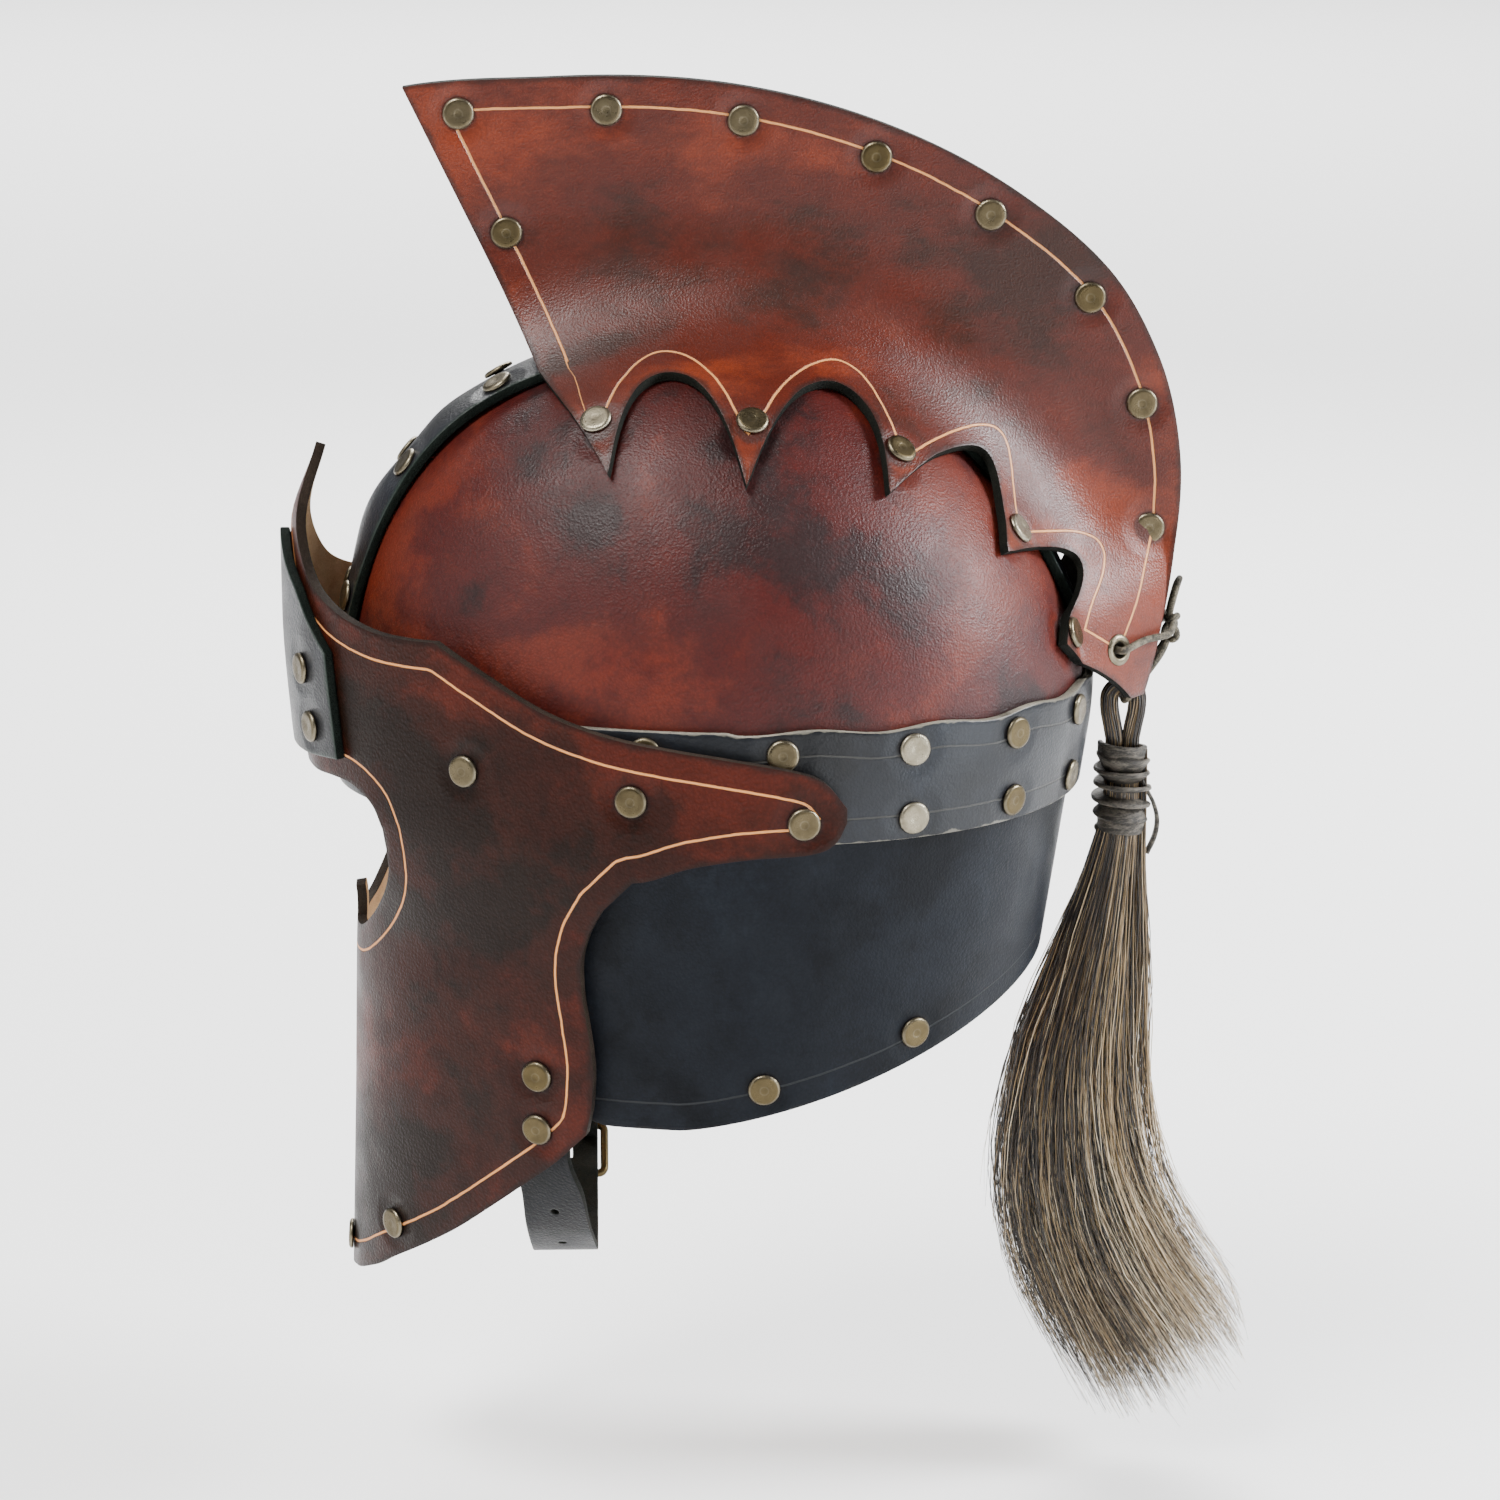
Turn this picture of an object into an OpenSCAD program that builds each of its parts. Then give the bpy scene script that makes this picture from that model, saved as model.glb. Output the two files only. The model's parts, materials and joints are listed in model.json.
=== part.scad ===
// Roman style helmet made of leather sheets riveted together, with a face mask,
// a two leaf crest and a hair tail. Millimetres, +Z up, the wearer looks along -Y,
// the wearer's left is +X, and the origin is the middle of the head band.

/* [Skull] */
// Half width of the skull at the head band
skull_half_w = 89; // [84:1:94]
// Half length of the skull at the head band
skull_half_l = 113; // [108:1:118]
// Height of the crown above the middle of the head band
crown_h = 116; // [111:1:122]
// How much wider the oval is behind the ears than in front of them
back_fullness = 0.12; // [0.06:0.01:0.16]
// Inward slope of the lower back, millimetres for each millimetre down
back_lean = 0.15; // [0.1:0.01:0.18]
// Gap between the two skull panels along the crown
seam_gap = 0.4; // [0.2:0.1:0.8]

/* [Leather] */
// Thickness of the skull panels, band, neck guard, mask and crest
hide_t = 3; // [2.6:0.1:3.2]
// Gap between two layers that lie on each other
layer_gap = 0.3; // [0.25:0.05:0.4]
// Gap under a layer that is laid over the curved crown
crown_gap = 0.8; // [0.7:0.05:0.9]

/* [Head band and centre strap] */
// Height of the head band
band_h = 33; // [30:1:36]
// Width of the centre strap over the crown
strap_w = 36; // [30:1:38]
// Thickness of the centre strap
strap_t = 3; // [2.6:0.1:3.4]

/* [Neck guard] */
// Depth of the neck guard below the band at the ears
neck_side_drop = 90; // [80:1:96]
// Depth of the neck guard below the band at the nape
neck_back_drop = 52; // [44:1:56]
// Inward slope of the neck guard's sides
neck_taper = 0.075; // [0.07:0.005:0.09]

/* [Face mask] */
// Height of the brow peak above the middle of the band
peak_h = 86; // [80:1:90]
// Depth of the chin below the middle of the band
chin_drop = 176; // [170:1:182]
// How far the brow stands out in front of the skull
brow_out = 16; // [13:0.5:18]
// Width of the nose tab
nose_tab_w = 8; // [6:0.5:10]
// Height of the nose tab
nose_tab_h = 10; // [7:0.5:12]
// Thickness of the brow plate
plate_t = 3; // [2.4:0.1:3.4]
// Height of the brow plate's apex above the band's middle
plate_top = 60; // [56:1:64]

/* [Crest] */
// Height of the crest's front tip above the origin, along its own slope
crest_front_r = 213; // [200:1:220]
// Height of the crest above the origin at the crown
crest_crown_r = 192; // [184:1:200]
// Reach of the crest's rear edge behind the origin
crest_back_r = 150; // [146:1:156]
// Half width of the crest at its widest pair of points
crest_spread = 68; // [62:1:72]
// Half width of the crest at the top of its front arch
arch_reach = 34; // [31:0.5:37]
// Gap between the two leaves where they are riveted together
leaf_gap = 0.4; // [0.3:0.1:0.8]

/* [Rivets] */
// Diameter of a rivet cap
rivet_d = 9.5; // [8:0.5:10.5]
// Height of a rivet cap
rivet_h = 1.5; // [1:0.1:1.8]
// Diameter of a rivet's shank
shank_d = 3.2; // [2.4:0.2:4]
// Diameter of the plain back of a rivet
rivet_back_d = 7.6; // [6.4:0.2:8]

/* [Chin strap and buckle] */
// Width of the chin strap
chin_w = 20; // [16:1:20]
// Thickness of the chin strap
chin_t = 2; // [1.6:0.1:2.2]
// Gap between the straight strap and the middle of the round cheek
chin_gap = 0.9; // [0.8:0.1:1.2]
// Diameter of the adjustment holes
chin_hole_d = 2.6; // [2:0.2:3.2]
// Distance between two adjustment holes
chin_hole_step = 24; // [20:1:26]
// Diameter of the buckle's wire
wire_d = 2.6; // [2.2:0.1:2.8]
// Length of the buckle frame from bar to end
buckle_l = 18; // [16:1:20]
// Clearance of the bar in the strap's fold and in the prong's eye
bar_play = 0.08; // [0.05:0.01:0.1]
// Width of the keeper
keeper_w = 7; // [5:0.5:8]
// Thickness of the keeper
keeper_t = 1.6; // [1.2:0.1:2]

/* [Tail] */
// Diameter of the laces
lace_d = 2.2; // [1.8:0.1:2.4]
// Inner diameter of the crest's eyelets
eyelet_bore_d = 5; // [4:0.5:6]
// Outer diameter of the crest's eyelets
eyelet_d = 9.6; // [8:0.2:10.4]
// Thickness of the hair at its loop
hair_loop_d = 5.8; // [5:0.2:6.4]
// Diameter of the hair inside the whipping
hair_core_d = 10.8; // [9:0.2:12]
// Turns of the whipping
whip_turns = 7; // [5:1:8]
// Distance from one turn of the whipping to the next
whip_pitch = 3.9; // [3.7:0.1:4.4]
// Width of the whipping's flat lace
whip_w = 3.2; // [2.6:0.1:3.2]
// Thickness of the whipping's flat lace
whip_t = 1.8; // [1.4:0.1:2]
// Rings of strands in the hair
hair_rings = 10; // [10:1:12]

/* [Hidden] */

// Fullness of the dome's curve, which is squarer in front than behind
dome_power = 2.15;
dome_skew = 0.25;
band_top = band_h / 2;
band_low = -band_h / 2;
band_out = layer_gap + hide_t;
// Bearings run from the wearer's left ear, 0, over the nape, 90, to the right ear, 180
sheet_step = 9;

// Value at x of a table of [x, value] pairs, with straight runs between them
function at(x, table) = lookup(x, table);
function mix(p, q, f) = p + (q - p) * f;
function clamp(x, low, high) = min(max(x, low), high);
function unit(v) = v / norm(v);
function ease(x) = let(t = clamp(x, 0, 1)) t * t * (3 - 2 * t);
// Repeatable scatter from 0 to 1
function scatter(k) = let(v = sin(k * 127.1 + 11.7) * 437.58) v - floor(v);

// Catmull-Rom curve through points, with a number of steps in each span
function spline_point(p, i, f) = let(
        n = len(p) - 1,
        a = p[max(i - 1, 0)], b = p[i], c = p[min(i + 1, n)], d = p[min(i + 2, n)])
    0.5 * (2 * b + (c - a) * f + (2 * a - 5 * b + 4 * c - d) * f * f
        + (3 * b - a - 3 * c + d) * f * f * f);
function spline(p, steps) = [
    for (i = [0:len(p) - 2], k = [0:steps - 1]) spline_point(p, i, k / steps),
    p[len(p) - 1]];

// Point of the skull family at bearing a and height z, off millimetres outside the skull
function skull_lean(a, z) = back_lean * max(band_top - z, 0) * pow(max(sin(a), 0), 2);
function skull_close(a, z, off) = let(n = dome_power - dome_skew * sin(a))
    pow(1 - pow(clamp(z / (crown_h + off), 0, 1), n), 1 / n);
function skull_pt(a, z, off) = let(c = skull_close(a, z, off), grow = off - skull_lean(a, z))
    [(skull_half_w + grow) * cos(a) * (1 + back_fullness * sin(a)) * c,
     (skull_half_l + grow) * sin(a) * c, z];
function dome_pt(a, rise, off) = skull_pt(a, (crown_h + off) * sin(rise), off);

// Distance from the origin to the dome in the plane at angle f about X, x to the side.
// The angle runs from the nape, 0, over the crown, 90, to the brow, 180.
function plan_sine(x, y, s, k) = k == 0 ? s : plan_sine(x, y,
    y / max(norm([x / (1 + back_fullness * s), y]), 0.001), k - 1);
function dome_value(x, y, z, off) = let(
        u = x / (skull_half_w + off), v = y / (skull_half_l + off),
        s = plan_sine(u, v, v / max(norm([u, v]), 0.001), 4),
        n = dome_power - dome_skew * s)
    pow(norm([u / (1 + back_fullness * s), v]), n) + pow(max(z, 0) / (crown_h + off), n);
function dome_search(x, f, off, low, high, k) = let(r = (low + high) / 2)
    k == 0 ? r : dome_value(x, r * cos(f), r * sin(f), off) > 1
        ? dome_search(x, f, off, low, r, k - 1) : dome_search(x, f, off, r, high, k - 1);
function dome_r(x, f, off) = dome_search(x, f, off, 0, 2 * crown_h, 20);
function fan_pt(x, r, f) = [x, r * cos(f), r * sin(f)];

// A closed leather sheet: the cells of a lattice between an inner and an outer skin.
// place(i, j, s) gives a point, s = 0 inside and 1 outside, and has(i, j) tells which
// cells are there. Columns run to the left seen from above, rows run up.
module sheet(nu, nv, place, has = function(i, j) true, round = false, peak = false) {
    cols = round ? nu : nu + 1;
    function id(i, j, s) = (s * (nv + 1) + j) * cols + (peak && j == nv ? 0 : i % cols);
    function cell(i, j) = j >= 0 && j < nv && (round || (i >= 0 && i < nu))
        && has((i + nu) % nu, j);
    points = [for (s = [0, 1], j = [0:nv], i = [0:cols - 1]) place(i, j, s)];
    quads = [for (i = [0:nu - 1], j = [0:nv - 1]) if (cell(i, j))
        let(a = id(i, j, 1), b = id(i + 1, j, 1), c = id(i + 1, j + 1, 1), d = id(i, j + 1, 1),
            e = id(i, j, 0), f = id(i + 1, j, 0), g = id(i + 1, j + 1, 0), h = id(i, j + 1, 0))
        each [
            [a, d, c], [a, c, b], [e, g, h], [e, f, g],
            if (!cell(i - 1, j)) each [[e, h, d], [e, d, a]],
            if (!cell(i + 1, j)) each [[b, c, g], [b, g, f]],
            if (!cell(i, j - 1)) each [[a, b, f], [a, f, e]],
            if (!cell(i, j + 1)) each [[c, d, h], [c, h, g]]]];
    polyhedron(points, [for (q = quads) if (q[0] != q[1] && q[1] != q[2] && q[0] != q[2]) q]);
}

// A tube or ribbon along points: side(k) is the direction of its width
module ribbon(points, side, width, thickness) {
    n = len(points);
    function along(k) = unit(points[min(k + 1, n - 1)] - points[max(k - 1, 0)]);
    function out(k) = unit(cross(along(k), side(k)));
    rings = [for (k = [0:n - 1]) let(w = side(k) * width / 2, t = out(k) * thickness / 2)
        each [points[k] - w - t, points[k] + w - t, points[k] + w + t, points[k] - w + t]];
    polyhedron(rings, concat(
        [[0, 1, 2], [0, 2, 3]],
        [for (k = [0:n - 2], m = [0:3]) let(a = 4 * k + m, b = 4 * k + (m + 1) % 4)
            each [[a, a + 4, b + 4], [a, b + 4, b]]],
        [let(e = 4 * (n - 1)) each [[e, e + 2, e + 1], [e, e + 3, e + 2]]]));
}

// A round tube with sides sides along points, closed at both ends or joined to itself
module tube(points, d, sides = 8, ring = false) {
    n = len(points);
    function step(k) = ring ? points[(k + 1) % n] - points[(k + n - 1) % n]
        : points[min(k + 1, n - 1)] - points[max(k - 1, 0)];
    function frame_side(k, v) = unit(v - unit(step(k)) * (v * unit(step(k))));
    // The reference side is carried from ring to ring, so that the tube doesn't twist
    function carry(k, v, list) = k == n ? list
        : let(w = frame_side(k, v)) carry(k + 1, w, concat(list, [w]));
    sides_at = carry(0, [0.31, 0.17, 0.93], []);
    rings = [for (k = [0:n - 1]) let(t = unit(step(k)), u = sides_at[k], v = cross(t, u))
        for (m = [0:sides - 1]) points[k]
            + (u * cos(360 * m / sides) + v * sin(360 * m / sides)) * d / 2];
    last = ring ? n - 1 : n - 2;
    shift = !ring ? 0 : let(u = sides_at[0], w = sides_at[n - 1], t = unit(step(0)),
        a = atan2(cross(t, u) * w, u * w)) round(a * sides / 360);
    walls = [for (k = [0:last], m = [0:sides - 1]) let(
            s = k == n - 1 ? shift : 0, k2 = (k + 1) % n,
            a = k * sides + m, b = k * sides + (m + 1) % sides,
            c = k2 * sides + (m + 1 + s + sides) % sides, e = k2 * sides + (m + s + sides) % sides)
        each [[a, e, c], [a, c, b]]];
    caps = ring ? [] : [
        for (m = [1:sides - 2]) [0, m, m + 1],
        for (m = [1:sides - 2]) let(e = (n - 1) * sides) [e, e + m + 1, e + m]];
    polyhedron(rings, concat(walls, caps));
}

// Turn a piece made along +Z to the direction n and move it to p
module point_to(p, n) {
    translate(p) rotate([0, acos(clamp(n.z / norm(n), -1, 1)), atan2(n.y, n.x)]) children();
}

// Rivet with its cap on the outer face at z = 0 and its back grip millimetres below
module rivet(grip) {
    rotate_extrude($fn = 24) polygon([
        [0, rivet_h], [rivet_d * 0.31, rivet_h], [rivet_d / 2, rivet_h * 0.25],
        [shank_d / 2, 0], [shank_d / 2, -grip], [rivet_back_d / 2, -grip - 0.1],
        [rivet_back_d / 2 - 0.5, -grip - 0.9], [0, -grip - 0.9]]);
}

// Rivet with a cap at both ends, as on the crest's ridge
module ridge_rivet(grip) {
    rotate_extrude($fn = 24) polygon([
        [0, rivet_h], [rivet_d * 0.31, rivet_h], [rivet_d / 2, rivet_h * 0.25],
        [shank_d / 2, 0], [shank_d / 2, -grip], [rivet_d / 2, -grip - rivet_h * 0.25],
        [rivet_d * 0.31, -grip - rivet_h], [0, -grip - rivet_h]]);
}

module both_sides() {
    children();
    mirror([1, 0, 0]) children();
}

// A rivet that stands square on a surface given by place(u, v)
module rivet_on(place, u, v, grip) {
    p = place(u, v);
    n = unit(cross(place(u + 1, v) - place(u - 1, v), place(u, v + 1) - place(u, v - 1)));
    point_to(p, n) rivet(grip);
}

// Skull panels, which meet under the centre strap and reach down under the band
panel_rows = 7;
panel_low_front = band_low + 2.5;
panel_low_back = 2;
panel_front = -3 * sheet_step;
module skull_panel() {
    cols = 180 / sheet_step;
    function low(a) = a < panel_front ? panel_low_front : panel_low_back;
    place = function(i, j, s) let(a = -90 + i * sheet_step, off = (s - 1) * hide_t)
        j == 0 ? skull_pt(a, low(a), off) : dome_pt(a, 9 + 81 * (j - 1) / (panel_rows - 1), off);
    translate([seam_gap / 2, 0, 0]) sheet(cols, panel_rows, place, peak = true);
}
module skull_panel_left() {
    color([0.42, 0.17, 0.12]) skull_panel();
}
module skull_panel_right() {
    color([0.42, 0.17, 0.12]) mirror([1, 0, 0]) skull_panel();
}

// Centre strap from the band's upper edge in front, over the crown, to its edge behind
strap_foot = asin((band_top + 1.5) / skull_half_l);
module skull_strap() {
    spans = 24;
    lanes = 4;
    place = function(i, j, s) let(
            x = (i / lanes - 0.5) * strap_w, f = mix(180 - strap_foot, strap_foot, j / spans))
        fan_pt(x, dome_r(x, f, crown_gap + s * strap_t), f);
    color([0.12, 0.13, 0.15]) sheet(lanes, spans, place);
}

// Head band, a closed ring round the lower skull
module head_band() {
    cols = 360 / sheet_step;
    place = function(i, j, s) skull_pt(i * sheet_step, mix(band_low, band_top, j / 2),
        layer_gap + s * hide_t);
    color([0.14, 0.16, 0.2]) sheet(cols, 2, place, round = true);
}

// Neck guard, held under the band and reaching round behind the ears
neck_top = panel_low_back - 0.8;
neck_front = panel_front + 3;
neck_cols = (180 - 2 * panel_front) / sheet_step;
function neck_bottom(a) = band_low - mix(neck_side_drop, neck_back_drop,
    pow(max(0, sin(a) * 1.2 + 0.15) / 1.35, 1.3));
function neck_off(a, z) = -neck_taper * max(band_low - z, 0) * pow(cos(a), 2);
function neck_pt(a, z, off) = skull_pt(a, z, off + neck_off(a, z));
module neck_guard() {
    rows = 4;
    place = function(i, j, s) let(
            a = clamp(panel_front + i * sheet_step, neck_front, 180 - neck_front),
            z = j == rows ? neck_top : mix(neck_bottom(a), band_low, j / (rows - 1)))
        neck_pt(a, z, (s - 1) * hide_t);
    color([0.13, 0.15, 0.19]) sheet(neck_cols, rows, place);
}

// Face mask: how far its outer face stands from the skull in front and at the sides
mask_front = [[-180, 2.5], [-123, 0.5], [-67, -1.5], [-57, -2], [-14, brow_out - 4],
    [0, brow_out - 2], [35, brow_out], [60, brow_out], [85, brow_out / 2], [100, brow_out / 4]];
// At the temples it lies over the caps of the band's rivets
mask_seat = band_out + rivet_h + layer_gap + hide_t;
mask_side = [[-180, -9], [-130, -3], [-100, 0.5], [-60, 3.2], [-15, mask_seat], [100, mask_seat]];
// Bearing where the mask leaves the band on its way to the front
mask_leave = -34;
function mask_share(a) = pow(clamp((mask_leave - asin(sin(a))) / (90 + mask_leave), 0, 1), 1.2);
function mask_out(a, z) = mix(at(z, mask_side), at(z, mask_front), mask_share(a));
function mask_pt(a, z, off) = let(grow = mask_out(a, z) + off - skull_lean(a, z))
    [(skull_half_w + grow) * cos(a) * (1 + back_fullness * sin(a)),
     (skull_half_l + grow) * sin(a), z];
// Half of the mask's outline, from the middle of the face to the ear. Each row holds the
// bearing and height of the lower edge, the eye's lower edge, its upper edge and the top.
eye_low = -61;
tab_half_a = asin(nose_tab_w / 2 / skull_half_w);
mask_guides = [
    [[0, -chin_drop], [0, eye_low + nose_tab_h], [0, -11], [0, peak_h]],
    [[4, -chin_drop + 1], [tab_half_a, eye_low + nose_tab_h - 1], [3, -11], [3, peak_h - 9]],
    [[8, -chin_drop + 2], [tab_half_a + 1, eye_low], [7, -11], [6.5, 66]],
    [[15, -chin_drop + 6], [14, eye_low + 1], [13, -11], [10, 56]],
    [[22, -chin_drop + 11.5], [22, -54], [21, -10], [16, 47]],
    [[29, -159], [29, -45], [27, -10.5], [25, 41]],
    [[36, -152.8], [33, -36], [32, -15], [34, 38]],
    [[43, -145.6], [34, -28], [34, -22], [41, 37.6]],
    [[51, -135.5], [44, -29], [44, -22.5], [46.6, 38]],
    [[58, -125.8], [55, -32], [55, -23.5], [55, 29.8]],
    [[63.5, -117.6], [66, -36], [66, -25], [64, 21.2]],
    [[68.6, -108], [72.5, -37], [77, -27.5], [73, 15.6]],
    [[0, 0], [0, 0], [85, -22.2], [82, 12.4]],
    [[0, 0], [0, 0], [93, -19.2], [90, 10]],
    [[0, 0], [0, 0], [101.5, -17.9], [98.5, 6.8]],
    [[0, 0], [0, 0], [104.9, -15], [103.3, 3.2]],
    [[0, 0], [0, 0], [106.4, -9.5], [106.4, -4.2]]];
mask_rows = [6, 3, 5];
mask_cols = len(mask_guides) - 1;
cheek_cols = 11;
eye_cols = 7;
// The cheek's rear edge bulges above the jaw and swings forward below the ear
cheek_bow = [[0, 0], [0.15, 0.6], [0.26, 0.5], [0.37, -0.1], [0.5, -1.2], [0.65, -2.4], [0.76, -2.7],
    [0.87, -2], [1, 0]];
function cheek_wave(i, f) = i <= eye_cols ? 0
    : at(f, cheek_bow) * (i - eye_cols) / (cheek_cols - eye_cols);
module face_mask() {
    rows = mask_rows[0] + mask_rows[1] + mask_rows[2];
    low = mask_rows[0];
    high = mask_rows[0] + mask_rows[1];
    function guide(i, j) = let(g = mask_guides[min(i, mask_cols)])
        j <= low ? mix(g[0], g[1], j / low) + [cheek_wave(i, j / low), 0]
        : j <= high ? mix(g[1], g[2], (j - low) / mask_rows[1])
        : mix(g[2], g[3], (j - high) / mask_rows[2]);
    place = function(i, j, s) let(k = i - mask_cols, g = guide(abs(k), j))
        mask_pt(-90 + g[0] * sign(k), g[1], (s - 1) * hide_t);
    has = function(i, j) let(k = i >= mask_cols ? i - mask_cols : mask_cols - 1 - i)
        k < eye_cols ? j < low || j >= high : k < cheek_cols || j >= high;
    color([0.3, 0.12, 0.1]) sheet(2 * mask_cols, rows, place, has);
}

// Brow plate, a five sided plate on the mask's forehead
plate_cols = 4;
plate_guides = [[[0, -6], [0, plate_top]], [[7, -5.5], [6, plate_top - 8]],
    [[14, -5], [12, 46]], [[20, -4], [18, 37]], [[26, -3], [24, 29]]];
module brow_plate() {
    rows = 5;
    gap = layer_gap;
    place = function(i, j, s) let(k = i - plate_cols, g = plate_guides[abs(k)],
            q = mix(g[0], g[1], j / rows))
        mask_pt(-90 + q[0] * sign(k), q[1], gap + s * plate_t);
    color([0.1, 0.11, 0.12]) sheet(2 * plate_cols, rows, place);
}

// Crest: each leaf lies on the skull in points, bends up over the centre strap's edge and
// meets the other leaf in the middle. Angles are fan angles from the nape, 0, to the brow,
// 180, and the marks are the crest's front edge, its five points and its rear end.
leaf_mid = (leaf_gap + hide_t) / 2;
crest_lead = 115.8;
crest_marks = [crest_lead, 111, 85.5, 59, 35.5, 16.5, 4];
crest_parts = [3, 8, 8, 7, 6, 4];
crest_angles = [for (k = [0:5], m = [0:crest_parts[k] - 1])
    mix(crest_marks[k], crest_marks[k + 1], m / crest_parts[k]), crest_marks[6]];
// Half width of the leaf at its points, and at the edge's two ends
crest_tip = [[4, 17], [16.5, 39], [35.5, 46], [59, 60], [85.5, crest_spread], [111, 60], [crest_lead, 21]];
// Half width at the tops of the arches between the points
crest_arch = [[26, arch_reach / 2], [48, arch_reach * 0.6], [71, arch_reach - 4], [97, arch_reach]];
// Distance from the origin to the crest's outer edge
crest_edge = [[4, crest_back_r - 21], [9.5, crest_back_r - 15], [20, crest_back_r - 2],
    [30, crest_back_r + 12], [40, crest_back_r + 23.5], [50, crest_crown_r - 11],
    [60, crest_crown_r - 8.5], [75, crest_crown_r - 4.5], [90, crest_crown_r + 1],
    [104, crest_crown_r + 8.5], [crest_lead, crest_front_r]];
// Where the leaf leaves the skull, and how far apart the leaves stand at the outer edge
crest_foot = [[4, 34], [16.5, 30], [36, 32], [60, 38], [crest_lead, 38]];
crest_spread_top = [[4, 12], [12, 8], [23, leaf_mid], [crest_lead, leaf_mid]];
// Share of the leaf's rise that is bent, the rest is flat
crest_bend = [[4, 1], [17, 0.95], [36, 0.65], [60, 0.62], [crest_lead, 0.55]];
// How far the edge at angle f has risen into its arch, 0 at the points and 1 at the top
function arch_at(f) = let(k = [for (m = [1:4]) if (f <= crest_marks[m] && f > crest_marks[m + 1]) m])
    len(k) == 0 ? 0 : let(from = crest_marks[k[0]], to = crest_marks[k[0] + 1])
        pow(sin(180 * (from - f) / (from - to)), 1.2);
function leaf_reach(f) = mix(at(f, crest_tip), at(f, crest_arch), arch_at(f));
// Height of the leaf's middle over the skull at its foot, and over the strap's edge
leaf_seat = crown_gap + hide_t / 2;
leaf_clear = 2 * crown_gap + strap_t + hide_t / 2 + 0.5;
// Middle of the leaf in the fan plane f, as [x, distance] points from its inner edge over
// the skull, round the bend and up to the outer edge. The bend's knee lies where the leaf
// clears the strap. Behind, where the leaves spread, the bend opens into a straight slope.
function leaf_line(f) = let(
        reach = leaf_reach(f), foot = at(f, crest_foot), top = at(f, crest_spread_top),
        low = [foot, dome_r(foot, f, leaf_seat)],
        high = [top, mix(low[1], at(f, crest_edge), at(f, crest_bend))],
        s = 1 - sqrt((strap_w / 2 - top) / (foot - top)),
        rise = (dome_r(strap_w / 2, f, leaf_clear) - (1 - s) * (1 - s) * low[1] - s * s * high[1])
            / (2 * s * (1 - s)),
        knee = mix([top, rise], (low + high) / 2, ease((30 - f) / 14)),
        a = low[0] - 2 * knee[0] + high[0], b = 2 * (low[0] - knee[0]),
        c = max(low[0] - reach, 0), from = 2 * c / (b + sqrt(b * b - 4 * a * c)))
    concat(
        [if (reach > foot) for (k = [0:5]) let(x = mix(reach, foot, k / 6))
            [x, dome_r(x, f, leaf_seat)]],
        [for (k = [0:12]) let(t = mix(from, 1, k / 12))
            (1 - t) * (1 - t) * low + 2 * t * (1 - t) * knee + t * t * high],
        [[top, at(f, crest_edge) + 0.01]]);
// The line in equal steps along its length, where a turn counts as extra length
leaf_rows = 9;
turn_length = 0.25;
function leaf_steps(f) = let(
        p = leaf_line(f), n = len(p) - 1,
        cost = [for (k = [0:n - 1]) let(d = p[k + 1] - p[k], e = p[min(k + 2, n)] - p[min(k + 1, n - 1)])
            norm(d) + turn_length * acos(clamp(unit(d) * unit(e), -1, 1))],
        run = [for (k = 0, s = 0; k <= n; s = s + (k < n ? cost[k] : 0), k = k + 1) s])
    [for (j = [0:leaf_rows]) let(s = run[n] * j / leaf_rows)
        [lookup(s, [for (k = [0:n]) [run[k], p[k][0]]]), lookup(s, [for (k = [0:n]) [run[k], p[k][1]]])]];
// Point of the leaf in the plane f at row j of its steps q, off millimetres outside its middle
function leaf_pt(f, q, j, off) = let(
        d = unit(q[min(j + 1, leaf_rows)] - q[max(j - 1, 0)]), p = q[j] + [d[1], -d[0]] * off)
    fan_pt(p[0], p[1], f);
module crest_leaf() {
    cols = len(crest_angles) - 1;
    steps = [for (f = crest_angles) leaf_steps(f)];
    difference() {
        sheet(cols, leaf_rows, function(i, j, s)
            leaf_pt(crest_angles[i], steps[i], j, (s - 0.5) * hide_t));
        point_to(eyelet_at(0), eyelet_axis()) cylinder(
            d = eyelet_bore_d + 2 * eyelet_wall, h = 4 * hide_t, center = true, $fn = 24);
    }
}
module crest_left() {
    color([0.55, 0.24, 0.14]) crest_leaf();
}
module crest_right() {
    color([0.55, 0.24, 0.14]) mirror([1, 0, 0]) crest_leaf();
}

// Eyelets in the crest's rear tips, which take the tail's lace
eyelet_f = 11.5;
eyelet_row = 3;
eyelet_wall = 0.5;
eyelet_lip = 0.6;
eyelet_steps = leaf_steps(eyelet_f);
function eyelet_at(off) = leaf_pt(eyelet_f, eyelet_steps, eyelet_row, off);
function eyelet_axis() = unit(eyelet_at(1) - eyelet_at(-1));
module crest_eyelets() {
    barrel = hide_t + 2 * eyelet_lip;
    color([0.62, 0.56, 0.42]) both_sides() point_to(eyelet_at(0), eyelet_axis())
        rotate_extrude($fn = 24) polygon([
            [eyelet_bore_d / 2, -barrel / 2], [eyelet_d / 2, -barrel / 2],
            [eyelet_d / 2, -hide_t / 2 - 0.1], [eyelet_bore_d / 2 + eyelet_wall - 0.1, -hide_t / 2 - 0.1],
            [eyelet_bore_d / 2 + eyelet_wall - 0.1, hide_t / 2 + 0.1], [eyelet_d / 2, hide_t / 2 + 0.1],
            [eyelet_d / 2 - 1, barrel / 2], [eyelet_bore_d / 2, barrel / 2]]);
}

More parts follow.
